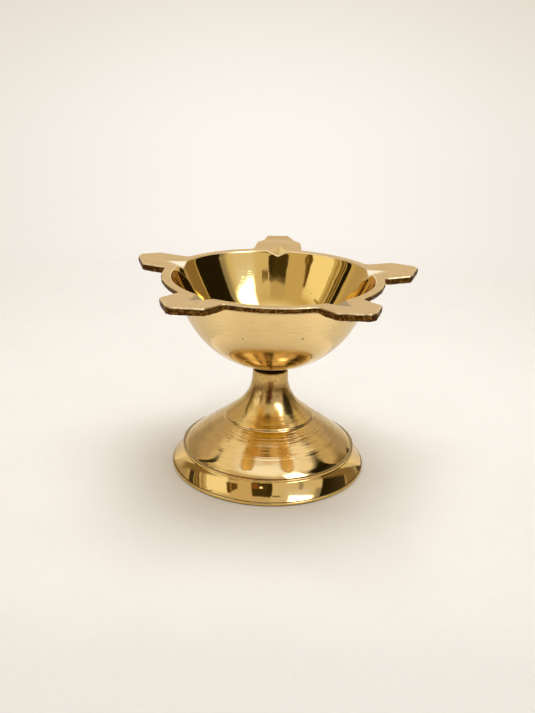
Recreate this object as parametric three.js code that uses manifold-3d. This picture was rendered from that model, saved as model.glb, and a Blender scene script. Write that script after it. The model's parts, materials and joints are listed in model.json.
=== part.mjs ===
// Five-wick brass oil lamp: a round bowl with a flat five-lugged rim, on a hollow flared foot.
// The bowl carries a threaded stud under its middle, which screws into the neck of the foot.
// Millimetres, +Z up. The origin is on the floor, under the middle of the lamp's overall size.
// Seen from the front, X points right and Y points away. Bearings turn anticlockwise from +X.

import * as THREE from 'three';
import { mergeVertices } from 'three/addons/utils/BufferGeometryUtils.js';
import Module from 'manifold-3d';

// Foot: a thin lip, a hollow-curved skirt, a bead, a domed shoulder, a step and a trumpet neck
const FOOT_RADIUS = 36;
const LIP_HEIGHT = 1.1;
const LIP_EDGE = 0.3;
const SKIRT_TOP_RADIUS = 31.9;
const SKIRT_TOP_HEIGHT = 7.1;
const SKIRT_HOLLOW = 0.35;
const BEAD_RADIUS = 0.45;
const SHOULDER_CROWN = 0.4;
const STEP_RADIUS = 16.4;
const STEP_HEIGHT = 19.4;
const STEP_PROUD = 0.3;
const NECK_RADIUS = 6.5;
const NECK_TOP = 37.2;
const NECK_EDGE = 0.25;
const NECK_STRAIGHT = 1.8;
const TRUMPET_POWER = 2.3;
const FOOT_WALL = 2.2;
const FOOT_RING_WIDTH = 2.4;
const NECK_SOLID_LENGTH = 12.2;

// Bowl: a ball that stands on a boss over the neck, drawn on into a straight flare to the mouth
const PLATE_TOP = 72.5;
const BOWL_RADIUS = 33.9;
const MOUTH_RADIUS = 36.15;
const BOWL_WALL = 1.4;
const BOWL_FLOOR = 2.3;
const BOSS_RADIUS = 5.4;
const BOSS_HEIGHT = 1.1;

// Rim plate and its five lugs, which rise a little towards their tips
const RIM_RADIUS = 39.55;
const RIM_THICKNESS = 1.5;
const LUG_THICKNESS = 2.1;
const LUG_ROOT = 38.6;
const LUG_SLOPE = 0.06;
const LUG_HALF_WIDTH = 9.6;
const SHOULDER_REACH = 48.3;
const SHOULDER_HALF_WIDTH = 9.2;
const TIP_REACH = 54.4;
const TIP_HALF_WIDTH = 1.4;
const ROOT_FILLET = 1.6;
const SHOULDER_ROUNDING = 1.3;
const TIP_ROUNDING = 0.9;

// The rear lug ends in a blunt tab that is bent up further
const TAB_BEND = 51.5;
const TAB_BEND_HALF_WIDTH = 6.3;
const TAB_REACH = 56;
const TAB_HALF_WIDTH = 4.3;
const TAB_SLOPE = 0.2;
const TAB_OVERLAP = 2.5;

// A wick groove: a V that is deepest at the mouth and runs out on the lug
const GROOVE_WIDTH = 8;
const GROOVE_DEPTH = 1.75;
const GROOVE_LENGTH = 8.3;
const GROOVE_HEADROOM = 2;

// Stud: a right-hand thread, screwed into the neck and fixed in the boss under the bowl
const THREAD_RADIUS = 4;
const THREAD_PITCH = 1.25;
const THREAD_DEPTH = 0.65;
const THREAD_TURNS = 8;
const STUD_CHAMFER = 0.6;
const SOCKET_FLOOR = 1.1;

// Clearances between separate pieces
const SEAT_GAP = 0.3;
const THREAD_GAP = 0.3;
const SOCKET_GAP = 0.3;

// How far a cutting solid runs past the face it opens, and how near two corners are one
const CUT_PAST = 1;
const SAME_CORNER = 1e-4;

// Facets: segments round a turned piece, and steps along its curves
const TURNED_SEGMENTS = 72;
const STUD_SEGMENTS = 24;
const ROWS_PER_THREAD = 4;
const SKIRT_STEPS = 3;
const BEAD_STEPS = 4;
const SHOULDER_STEPS = 4;
const TRUMPET_STEPS = 9;
const CAVITY_STEPS = 9;
const SPHERE_STEPS = 9;
const CORNER_STEPS = 3;

// Each lug as it was filed by hand: the bearings of its middle and of its wick groove in degrees,
// then how far it differs from the sizes above, its clockwise side first. Widths are taken where
// it leaves the rim, and each corner is [further out, further from the lug's middle].
const LUGS = [
  {
    bearing: 14, groove: 13.6, widths: [0.4, 0.4],
    shoulders: [[0.1, 1], [-0.2, 0.1]], tip: [[0.1, -0.4], [-0.2, 0.6]],
  },
  {
    bearing: 88, groove: 87.3, widths: [0.3, -0.3],
    shoulders: [[0.4, 0.2], [-0.1, -0.8]], bend: [[0.3, 0.5], [0, -0.4]],
    tab: [[0.4, -0.4], [-0.3, 0.4]],
  },
  {
    bearing: 158.5, groove: 159, widths: [-0.2, -0.9],
    shoulders: [[1.1, -1.2], [-0.7, 0.2]], tip: [[-0.1, 0.6], [-0.5, -0.2]],
  },
  {
    bearing: 232.8, groove: 232.1, widths: [0.2, 0.1],
    shoulders: [[0.4, -0.3], [-0.7, 0.4]], tip: [[0.2, -0.8], [0.2, 0.4]],
  },
  {
    bearing: 304.6, groove: 304.3, widths: [-0.4, -0.4],
    shoulders: [[-0.8, -0.2], [0, -0.3]], tip: [[0.3, -0.2], [0.2, -0.1]],
  },
];

// Values worked out from the sizes above
const BOSS_BOTTOM = NECK_TOP + SEAT_GAP;
const BOWL_BOTTOM = BOSS_BOTTOM + BOSS_HEIGHT;
const BALL_CENTRE = BOWL_BOTTOM + BOWL_RADIUS;
const PLATE_UNDERSIDE = PLATE_TOP - RIM_THICKNESS;
const CAVITY_TOP = NECK_TOP - NECK_SOLID_LENGTH;
const SOCKET_TOP = BOWL_BOTTOM + BOWL_FLOOR - SOCKET_FLOOR;
const STUD_BOTTOM = NECK_TOP - THREAD_TURNS * THREAD_PITCH;
const STUD_TOP = SOCKET_TOP - SOCKET_GAP;
const NECK_BORE_RADIUS = THREAD_RADIUS + THREAD_GAP;
const SOCKET_RADIUS = THREAD_RADIUS + SOCKET_GAP;

const wasm = await Module();
wasm.setup();

// A closed geometry made a manifold solid with its faces outwards.
function solidFrom(geometry) {
  const bare = geometry.clone();
  bare.deleteAttribute('normal');
  bare.deleteAttribute('uv');
  const merged = mergeVertices(bare, SAME_CORNER);
  const corners = Array.from(merged.index.array);
  const kept = [];
  for (let i = 0; i < corners.length; i += 3) {
    const [a, b, c] = corners.slice(i, i + 3);
    if (a !== b && b !== c && c !== a) kept.push(a, b, c);
  }
  const vertProperties = new Float32Array(merged.attributes.position.array);
  const build = (triangles) => new wasm.Manifold(
    new wasm.Mesh({ numProp: 3, vertProperties, triVerts: new Uint32Array(triangles) }),
  );
  const solid = build(kept);
  if (solid.volume() > 0) return solid;
  const flipped = [];
  for (let i = 0; i < kept.length; i += 3) flipped.push(kept[i], kept[i + 2], kept[i + 1]);
  return build(flipped);
}

// A manifold solid made a geometry again, with flat facets.
function geometryFrom(solid) {
  const mesh = solid.getMesh();
  const geometry = new THREE.BufferGeometry();
  const positions = new Float32Array(mesh.numVert * 3);
  for (let i = 0; i < mesh.numVert; i += 1) {
    for (let k = 0; k < 3; k += 1) positions[3 * i + k] = mesh.vertProperties[mesh.numProp * i + k];
  }
  geometry.setAttribute('position', new THREE.BufferAttribute(positions, 3));
  geometry.setIndex(Array.from(mesh.triVerts));
  const flat = geometry.toNonIndexed();
  flat.computeVertexNormals();
  return flat;
}

// A profile of [radius, height] points turned about Z into a closed solid.
function turned(profile, segments) {
  const points = profile.map(([radius, height]) => new THREE.Vector2(radius, height));
  const geometry = new THREE.LatheGeometry(points, segments);
  geometry.rotateX(Math.PI / 2);
  return solidFrom(geometry);
}

// Points of an arc from one angle to another, in radians, both ends included.
function arc(centre, radius, from, to, steps) {
  const points = [];
  for (let i = 0; i <= steps; i += 1) {
    const angle = from + ((to - from) * i) / steps;
    points.push([centre[0] + radius * Math.cos(angle), centre[1] + radius * Math.sin(angle)]);
  }
  return points;
}

// A shallow arc from start to end that stands out by rise on the left of the way along.
function bowedLine(start, end, rise, steps) {
  const along = [end[0] - start[0], end[1] - start[1]];
  const length = Math.hypot(...along);
  const left = [-along[1] / length, along[0] / length];
  const points = [];
  for (let i = 0; i <= steps; i += 1) {
    const t = i / steps;
    const bow = 4 * rise * t * (1 - t);
    points.push([start[0] + along[0] * t + left[0] * bow, start[1] + along[1] * t + left[1] * bow]);
  }
  return points;
}

// The corner of an outline rounded by an arc, as points in the order of the outline.
function roundedCorner(before, corner, after, radius) {
  const start = new THREE.Vector2(...corner);
  const toBefore = new THREE.Vector2(...before).sub(start).normalize();
  const toAfter = new THREE.Vector2(...after).sub(start).normalize();
  const half = Math.acos(THREE.MathUtils.clamp(toBefore.dot(toAfter), -1, 1)) / 2;
  const reach = radius / Math.tan(half);
  const middle = toBefore.clone().add(toAfter).normalize().multiplyScalar(radius / Math.sin(half));
  const centre = start.clone().add(middle);
  const first = start.clone().addScaledVector(toBefore, reach).sub(centre);
  const last = start.clone().addScaledVector(toAfter, reach).sub(centre);
  const from = first.angle();
  let sweep = last.angle() - from;
  if (sweep > Math.PI) sweep -= 2 * Math.PI;
  if (sweep < -Math.PI) sweep += 2 * Math.PI;
  return arc([centre.x, centre.y], radius, from, from + sweep, CORNER_STEPS);
}

// Where the trumpet's outside stands at a height between the step and the top of the neck.
function trumpetRadius(height) {
  const span = NECK_TOP - NECK_STRAIGHT - STEP_HEIGHT;
  const left = Math.max(0, 1 - (height - STEP_HEIGHT) / span);
  return NECK_RADIUS + (STEP_RADIUS - NECK_RADIUS) * left ** TRUMPET_POWER;
}

// The foot's outside below the step as two bowed lines: the skirt, and the shoulder above the bead.
function skirtLine(steps) {
  const start = [FOOT_RADIUS - LIP_EDGE, LIP_HEIGHT];
  return bowedLine(start, [SKIRT_TOP_RADIUS, SKIRT_TOP_HEIGHT], SKIRT_HOLLOW, steps);
}

function shoulderLine(steps) {
  const start = [SKIRT_TOP_RADIUS - BEAD_RADIUS, SKIRT_TOP_HEIGHT + 2 * BEAD_RADIUS];
  const end = [STEP_RADIUS - STEP_PROUD, STEP_HEIGHT - STEP_PROUD];
  return bowedLine(start, end, -SHOULDER_CROWN, steps);
}

// The trumpet's outside from the step to a height, in even steps up.
function trumpetLine(top, steps) {
  const points = [];
  for (let i = 0; i <= steps; i += 1) {
    const height = STEP_HEIGHT + ((top - STEP_HEIGHT) * i) / steps;
    points.push([trumpetRadius(height), height]);
  }
  return points;
}

// The foot's whole outside, from the floor up to the top of the neck.
function footOutside() {
  const beadCentre = [SKIRT_TOP_RADIUS - BEAD_RADIUS / 2, SKIRT_TOP_HEIGHT + BEAD_RADIUS];
  return [
    [FOOT_RADIUS - LIP_EDGE, 0],
    [FOOT_RADIUS, LIP_EDGE],
    [FOOT_RADIUS, LIP_HEIGHT - LIP_EDGE],
    ...skirtLine(SKIRT_STEPS),
    ...arc(beadCentre, BEAD_RADIUS, -Math.PI / 3, Math.PI / 2, BEAD_STEPS),
    ...shoulderLine(SHOULDER_STEPS),
    ...trumpetLine(NECK_TOP - NECK_STRAIGHT, TRUMPET_STEPS),
    [NECK_RADIUS, NECK_TOP - NECK_EDGE],
    [NECK_RADIUS - NECK_EDGE, NECK_TOP],
  ];
}

// The hollow under the foot: the outside moved in by the wall, up to where the neck is solid.
function footCavity() {
  const outside = [
    ...skirtLine(1),
    ...shoulderLine(2).slice(1),
    ...trumpetLine(NECK_TOP, CAVITY_STEPS).slice(1),
  ];
  const mouth = FOOT_RADIUS - FOOT_RING_WIDTH;
  const profile = [[0, -CUT_PAST], [mouth, -CUT_PAST], [mouth, 0]];
  for (let i = 1; i < outside.length - 1; i += 1) {
    const [before, at, after] = outside.slice(i - 1, i + 2);
    const along = [after[0] - before[0], after[1] - before[1]];
    const length = Math.hypot(...along);
    const moved = [at[0] - (FOOT_WALL * along[1]) / length, at[1] + (FOOT_WALL * along[0]) / length];
    const last = profile[profile.length - 1];
    if (moved[1] >= CAVITY_TOP) {
      const share = (CAVITY_TOP - last[1]) / (moved[1] - last[1]);
      profile.push([last[0] + (moved[0] - last[0]) * share, CAVITY_TOP]);
      break;
    }
    profile.push(moved);
  }
  return [...profile, [0, CAVITY_TOP]];
}

// The foot: its outside turned solid, less the hollow underneath and the bore of the neck.
function foot() {
  const outside = turned([[0, 0], ...footOutside(), [0, NECK_TOP]], TURNED_SEGMENTS);
  const hollow = turned(footCavity(), TURNED_SEGMENTS);
  const bore = turned(
    [[0, CAVITY_TOP - CUT_PAST], [NECK_BORE_RADIUS, CAVITY_TOP - CUT_PAST],
      [NECK_BORE_RADIUS, NECK_TOP + CUT_PAST], [0, NECK_TOP + CUT_PAST]],
    STUD_SEGMENTS,
  );
  return outside.subtract(hollow).subtract(bore);
}

// How far a [radius, height] point lies outside a circle whose centre is on the axis.
function clearOf(centreHeight, radius, point) {
  return Math.hypot(point[0], point[1] - centreHeight) - radius;
}

// Where the straight wall down from a point touches a circle on the axis. From a point inside the
// circle no line touches it, so there the circle runs on up to the underside of the plate.
function touchAngle(centreHeight, radius, point) {
  const clear = clearOf(centreHeight, radius, point);
  if (clear <= 0) return Math.asin((PLATE_UNDERSIDE - centreHeight) / radius);
  const toPoint = Math.atan2(point[1] - centreHeight, point[0]);
  return toPoint - Math.acos(radius / (radius + clear));
}

// The inside of the bowl as [radius, height] points from the middle of its floor to the mouth.
function bowlInside() {
  const mouth = [MOUTH_RADIUS, PLATE_TOP];
  const outerTouch = touchAngle(BALL_CENTRE, BOWL_RADIUS, mouth);
  const lift = (BOWL_FLOOR - BOWL_WALL) / (1 + Math.sin(outerTouch));
  const radius = BOWL_RADIUS + lift - BOWL_FLOOR;
  const centre = [0, BALL_CENTRE + lift];
  const touch = touchAngle(centre[1], radius, mouth);
  const sphere = arc(centre, radius, -Math.PI / 2, touch, SPHERE_STEPS);
  sphere[0][0] = 0;
  return [...sphere, mouth];
}

// How far the straight part of the wall leans out for each millimetre up.
function flareSlope() {
  const [below, mouth] = bowlInside().slice(-2);
  return (mouth[0] - below[0]) / (mouth[1] - below[1]);
}

// The outside of the boss, the ball and the wall, from under the boss up to the plate's top.
function bowlOutside() {
  const slope = flareSlope();
  const wallTop = [MOUTH_RADIUS + BOWL_WALL * Math.hypot(1, slope), PLATE_TOP];
  const underPlate = [wallTop[0] - slope * RIM_THICKNESS, PLATE_UNDERSIDE];
  const touch = touchAngle(BALL_CENTRE, BOWL_RADIUS, underPlate);
  const bossTurn = -Math.acos(BOSS_RADIUS / BOWL_RADIUS);
  const ball = arc([0, BALL_CENTRE], BOWL_RADIUS, bossTurn, touch, SPHERE_STEPS);
  const wall = clearOf(BALL_CENTRE, BOWL_RADIUS, underPlate) > 0 ? [underPlate, wallTop] : [wallTop];
  return [[0, BOSS_BOTTOM], [BOSS_RADIUS, BOSS_BOTTOM], ...ball, ...wall, [0, PLATE_TOP]];
}

// A flat outline of [out, across] points stood on a lug's bearing as a slab with a sloping top.
function slab(outline, bearing, thickness, topAt) {
  const shape = new THREE.Shape(outline.map(([out, across]) => new THREE.Vector2(out, across)));
  const geometry = new THREE.ExtrudeGeometry(shape, { depth: thickness, bevelEnabled: false });
  const places = geometry.attributes.position;
  for (let i = 0; i < places.count; i += 1) {
    places.setZ(i, topAt(places.getX(i)) - thickness + places.getZ(i));
  }
  geometry.rotateZ(THREE.MathUtils.degToRad(bearing));
  return solidFrom(geometry);
}

// The height of a lug's top at a distance out from the axis.
function lugTop(out) {
  return PLATE_TOP + LUG_SLOPE * (out - LUG_ROOT);
}

// The height of the rear tab's top, which meets the lug's top at the bend.
function tabTop(out) {
  return lugTop(TAB_BEND) + TAB_SLOPE * (out - TAB_BEND);
}

// The fillet where a lug's side leaves the rim, from the rim to the side, on the side given.
function rootFillet(halfWidth, side) {
  const across = halfWidth + ROOT_FILLET;
  const out = Math.sqrt((RIM_RADIUS + ROOT_FILLET) ** 2 - across ** 2);
  const toAxis = Math.atan2(-across, -out);
  const points = arc([out, across], ROOT_FILLET, toAxis, -Math.PI / 2, CORNER_STEPS);
  return points.map(([x, y]) => [x, side * y]);
}

// A lug's two corners at a reach from the axis, clockwise one first, as they were filed.
function filedCorners(reach, halfWidth, [right, left]) {
  return [[reach + right[0], -halfWidth - right[1]], [reach + left[0], halfWidth + left[1]]];
}

// One lug with its root fillets, rounded shoulders and tip, and its tab if it has one.
function lug({ bearing, widths, shoulders, tip, bend, tab }) {
  const right = LUG_HALF_WIDTH + widths[0];
  const left = LUG_HALF_WIDTH + widths[1];
  const start = rootFillet(right, -1);
  const end = rootFillet(left, 1).reverse();
  const inner = MOUTH_RADIUS - 2 * LUG_THICKNESS;
  const [shoulderStart, shoulderEnd] = filedCorners(SHOULDER_REACH, SHOULDER_HALF_WIDTH, shoulders);
  const [baseStart, baseEnd] = bend
    ? filedCorners(TAB_BEND, TAB_BEND_HALF_WIDTH, bend)
    : filedCorners(TIP_REACH, TIP_HALF_WIDTH, tip);
  const corners = [start[start.length - 1], shoulderStart, baseStart, baseEnd, shoulderEnd, end[0]];
  const roundings = [SHOULDER_ROUNDING, TIP_ROUNDING, TIP_ROUNDING, SHOULDER_ROUNDING];
  const outline = [[inner, -right], ...start];
  roundings.forEach((radius, i) => {
    outline.push(...roundedCorner(corners[i], corners[i + 1], corners[i + 2], radius));
  });
  outline.push(...end, [inner, left]);
  const body = slab(outline, bearing, LUG_THICKNESS, lugTop);
  if (!tab) return body;
  const [tabStart, tabEnd] = filedCorners(TAB_REACH, TAB_HALF_WIDTH, tab);
  const tabOutline = [
    [baseStart[0] - TAB_OVERLAP, baseStart[1] + TAB_OVERLAP / 2],
    baseStart,
    ...roundedCorner(baseStart, tabStart, tabEnd, TIP_ROUNDING),
    ...roundedCorner(tabStart, tabEnd, baseEnd, TIP_ROUNDING),
    baseEnd,
    [baseEnd[0] - TAB_OVERLAP, baseEnd[1] - TAB_OVERLAP / 2],
  ];
  return body.add(slab(tabOutline, bearing, LUG_THICKNESS, tabTop));
}

// The V that a wick lies in, as a trough whose bottom climbs from the mouth to the lug's top.
function wickGroove({ groove }) {
  const end = MOUTH_RADIUS + GROOVE_LENGTH;
  const start = MOUTH_RADIUS - GROOVE_LENGTH / 2;
  const flank = GROOVE_WIDTH / 2 / GROOVE_DEPTH;
  const bottomAt = (out) => PLATE_TOP - GROOVE_DEPTH
    + ((lugTop(end) - PLATE_TOP + GROOVE_DEPTH) * (out - MOUTH_RADIUS)) / GROOVE_LENGTH;
  const section = (out) => {
    const bottom = bottomAt(out);
    const top = PLATE_TOP + GROOVE_HEADROOM;
    const half = (top - bottom) * flank;
    return [[out, 0, bottom], [out, half, top], [out, -half, top]];
  };
  const geometry = new THREE.BufferGeometry();
  const places = new Float32Array([...section(start), ...section(end)].flat());
  geometry.setAttribute('position', new THREE.BufferAttribute(places, 3));
  geometry.setIndex([0, 1, 2, 3, 5, 4, 0, 3, 4, 0, 4, 1, 1, 4, 5, 1, 5, 2, 2, 5, 3, 2, 3, 0]);
  geometry.rotateZ(THREE.MathUtils.degToRad(groove));
  return solidFrom(geometry);
}

// The bowl: body, rim and lugs joined, less its inside, its wick grooves and the stud's socket.
function bowl() {
  const above = [MOUTH_RADIUS + CUT_PAST * flareSlope(), PLATE_TOP + CUT_PAST];
  const inside = turned([...bowlInside(), above, [0, above[1]]], TURNED_SEGMENTS);
  const rim = turned(
    [[0, PLATE_UNDERSIDE], [RIM_RADIUS, PLATE_UNDERSIDE], [RIM_RADIUS, PLATE_TOP], [0, PLATE_TOP]],
    TURNED_SEGMENTS,
  );
  const socket = turned(
    [[0, BOSS_BOTTOM - CUT_PAST], [SOCKET_RADIUS, BOSS_BOTTOM - CUT_PAST],
      [SOCKET_RADIUS, SOCKET_TOP], [0, SOCKET_TOP]],
    STUD_SEGMENTS,
  );
  let solid = turned(bowlOutside(), TURNED_SEGMENTS).add(rim);
  for (const each of LUGS) solid = solid.add(lug(each));
  solid = solid.subtract(inside);
  for (const each of LUGS) solid = solid.subtract(wickGroove(each));
  return solid.subtract(socket);
}

// A rod with one helical ridge. Each row of corners climbs one pitch in a turn, and its ends are
// fans to the axis, which the trimming below takes away.
function threadedRod(bottom, length) {
  const root = THREAD_RADIUS - THREAD_DEPTH;
  const flank = root + THREAD_DEPTH / 2;
  const radii = [root, flank, THREAD_RADIUS, flank];
  const rows = (Math.ceil(length / THREAD_PITCH) + 2) * ROWS_PER_THREAD;
  const places = [];
  for (let row = 0; row <= rows; row += 1) {
    for (let i = 0; i < STUD_SEGMENTS; i += 1) {
      const angle = (2 * Math.PI * i) / STUD_SEGMENTS;
      const radius = radii[row % ROWS_PER_THREAD];
      const climb = row / ROWS_PER_THREAD + i / STUD_SEGMENTS - 1;
      places.push(radius * Math.cos(angle), radius * Math.sin(angle), bottom + THREAD_PITCH * climb);
    }
  }
  const at = (row, i) => (i < STUD_SEGMENTS
    ? row * STUD_SEGMENTS + i
    : (row + ROWS_PER_THREAD) * STUD_SEGMENTS);
  const faces = [];
  for (let i = 0; i < STUD_SEGMENTS; i += 1) {
    const last = i === STUD_SEGMENTS - 1 ? rows - ROWS_PER_THREAD : rows;
    for (let row = 0; row < last; row += 1) {
      faces.push(at(row, i), at(row, i + 1), at(row + 1, i + 1));
      faces.push(at(row, i), at(row + 1, i + 1), at(row + 1, i));
    }
  }
  const low = [];
  const high = [];
  for (let i = 0; i < STUD_SEGMENTS; i += 1) low.push(at(0, i));
  for (let row = ROWS_PER_THREAD; row > 0; row -= 1) low.push(at(row, 0));
  for (let i = 0; i < STUD_SEGMENTS; i += 1) high.push(at(rows, i));
  for (let row = 1; row <= ROWS_PER_THREAD; row += 1) high.push(at(rows - row, STUD_SEGMENTS - 1));
  const lowMiddle = places.length / 3;
  places.push(0, 0, bottom - THREAD_PITCH / 2);
  const highMiddle = lowMiddle + 1;
  places.push(0, 0, bottom + THREAD_PITCH * (rows / ROWS_PER_THREAD - 0.5));
  low.forEach((corner, i) => faces.push(lowMiddle, low[(i + 1) % low.length], corner));
  high.forEach((corner, i) => faces.push(highMiddle, corner, high[(i + 1) % high.length]));
  const geometry = new THREE.BufferGeometry();
  geometry.setAttribute('position', new THREE.BufferAttribute(new Float32Array(places), 3));
  geometry.setIndex(faces);
  return solidFrom(geometry);
}

// The stud: threaded up to the boss with a chamfered lower end, and plain inside the boss.
function stud() {
  const rod = threadedRod(STUD_BOTTOM, BOSS_BOTTOM - STUD_BOTTOM);
  const wide = THREAD_RADIUS + THREAD_DEPTH;
  const trim = turned(
    [[0, STUD_BOTTOM], [THREAD_RADIUS - STUD_CHAMFER, STUD_BOTTOM],
      [wide, STUD_BOTTOM + STUD_CHAMFER + THREAD_DEPTH], [wide, BOSS_BOTTOM], [0, BOSS_BOTTOM]],
    STUD_SEGMENTS,
  );
  const plainStart = BOSS_BOTTOM - THREAD_PITCH / 2;
  const plain = turned(
    [[0, plainStart], [THREAD_RADIUS, plainStart], [THREAD_RADIUS, STUD_TOP], [0, STUD_TOP]],
    STUD_SEGMENTS,
  );
  return rod.intersect(trim).add(plain);
}

// A brass finish with its colour and roughness.
function brass(colour, roughness) {
  return new THREE.MeshStandardMaterial({ color: colour, roughness, metalness: 1 });
}

// A named mesh of a solid.
function part(name, solid, material) {
  const mesh = new THREE.Mesh(geometryFrom(solid), material);
  mesh.name = name;
  return mesh;
}

const footMesh = part('foot', foot(), brass(0xc79a45, 0.22));
const studMesh = part('stud', stud(), brass(0xa98344, 0.4));
const bowlMesh = part('bowl', bowl(), brass(0xd0a552, 0.18));

// The lugs reach out unevenly, so the whole lamp is set over the middle of its own footprint.
const reach = new THREE.Box3().setFromObject(bowlMesh).getCenter(new THREE.Vector3());
const lamp = new THREE.Group();
lamp.position.set(-reach.x, -reach.y, 0);
lamp.add(footMesh, studMesh, bowlMesh);
console.log(`axis at x ${(-reach.x).toFixed(4)}, y ${(-reach.y).toFixed(4)}`);

export default lamp;
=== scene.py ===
"""Five-wick brass oil lamp on a foot: its looks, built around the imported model.

The lamp is three pieces: the bowl with its lugged rim, the hollow foot and the threaded stud that
joins them. Sizes are in millimetres about the lamp's own axis, until a mesh is made in metres.
"""

import json
import logging
import math
from dataclasses import dataclass, field
from enum import Enum
from typing import Any, Callable

import bpy
import numpy as np
from mathutils import Matrix, Vector


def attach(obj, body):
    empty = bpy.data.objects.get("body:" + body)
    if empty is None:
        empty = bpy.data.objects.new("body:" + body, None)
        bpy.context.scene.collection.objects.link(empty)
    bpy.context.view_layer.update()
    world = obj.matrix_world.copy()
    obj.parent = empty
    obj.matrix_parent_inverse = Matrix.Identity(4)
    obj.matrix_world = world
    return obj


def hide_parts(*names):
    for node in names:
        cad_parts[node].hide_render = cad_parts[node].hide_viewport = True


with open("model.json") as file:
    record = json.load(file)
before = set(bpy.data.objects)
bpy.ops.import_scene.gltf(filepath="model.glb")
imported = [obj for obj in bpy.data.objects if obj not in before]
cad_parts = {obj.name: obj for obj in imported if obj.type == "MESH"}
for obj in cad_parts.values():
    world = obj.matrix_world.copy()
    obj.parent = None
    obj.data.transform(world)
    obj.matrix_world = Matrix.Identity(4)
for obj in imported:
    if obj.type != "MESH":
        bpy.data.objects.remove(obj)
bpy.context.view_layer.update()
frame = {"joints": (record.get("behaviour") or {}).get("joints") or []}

MM = 0.001
TURN = 2.0 * math.pi
Array = np.ndarray
Pair = tuple[float, float]
log = logging.getLogger("lamp")


def lamp_axis() -> Pair:
    """Finds where the lamp's axis stands, from the joint that the bowl turns on.

    Returns:
        Its x and y in metres.
    """
    for joint in frame["joints"]:
        if joint["name"] == "bowl_turn":
            return float(joint["pos_m"][0]), float(joint["pos_m"][1])
    raise ValueError("the packed model has no bowl_turn joint")


AXIS = lamp_axis()


class Zone(Enum):
    """Surface zones that a mesh stores as point attributes, 1 inside the zone and 0 outside.

    DEPTH is a place instead: 0 to 1 down the cast edge, and just below 0 on the plate beside it.
    """

    INSIDE = "inside"
    PLATE = "plate"
    EDGE = "edge"
    GROOVE = "groove"
    SHADED = "shaded"
    DEPTH = "depth"
    HOLLOW = "hollow"


# Shader graphs


class Value:
    """A number socket of a shader graph that can be used in Python expressions."""

    def __init__(self, graph: "Graph", socket: bpy.types.NodeSocket) -> None:
        """Wraps one output socket of a graph."""
        self.graph = graph
        self.socket = socket

    def _math(self, operation: str, *values: Any, clamp: bool = False) -> "Value":
        """Adds one Math node.

        Args:
            operation: The Math node's operation.
            values: Its inputs in order, as numbers or Values.
            clamp: Whether the result is held between 0 and 1.

        Returns:
            The node's result.
        """
        sockets = dict(enumerate(values))
        return self.graph.number("Math", sockets, operation=operation, use_clamp=clamp)

    def __add__(self, other: Any) -> "Value":
        """This value plus another."""
        return self._math("ADD", self, other)

    __radd__ = __add__

    def __sub__(self, other: Any) -> "Value":
        """This value less another."""
        return self._math("SUBTRACT", self, other)

    def __rsub__(self, other: Any) -> "Value":
        """Another value less this one."""
        return self._math("SUBTRACT", other, self)

    def __mul__(self, other: Any) -> "Value":
        """This value times another."""
        return self._math("MULTIPLY", self, other)

    __rmul__ = __mul__

    def __truediv__(self, other: Any) -> "Value":
        """This value over another."""
        return self._math("DIVIDE", self, other)

    def least(self, other: Any) -> "Value":
        """The smaller of this value and another."""
        return self._math("MINIMUM", self, other)

    def most(self, other: Any) -> "Value":
        """The larger of this value and another."""
        return self._math("MAXIMUM", self, other)

    def size(self) -> "Value":
        """This value without its sign."""
        return self._math("ABSOLUTE", self)

    def root(self) -> "Value":
        """The square root of this value."""
        return self._math("SQRT", self)

    def held(self) -> "Value":
        """This value held between 0 and 1."""
        return self._math("ADD", self, 0.0, clamp=True)

    def step(self, low: float, high: float) -> "Value":
        """A smooth rise from 0 where this value is low to 1 where it is high.

        Args:
            low: Where the rise starts. It may lie above high, for a fall.
            high: Where the rise ends.

        Returns:
            The smooth step, between 0 and 1.
        """
        sockets = {"Value": self, "From Min": low, "From Max": high}
        return self.graph.number("MapRange", sockets, interpolation_type="SMOOTHSTEP", clamp=True)

    def band(self, start: float, end: float, soft: float) -> "Value":
        """1 between two values and 0 outside them, with soft ends of a width."""
        return self.step(start - soft, start + soft) * self.step(end + soft, end - soft)


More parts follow.
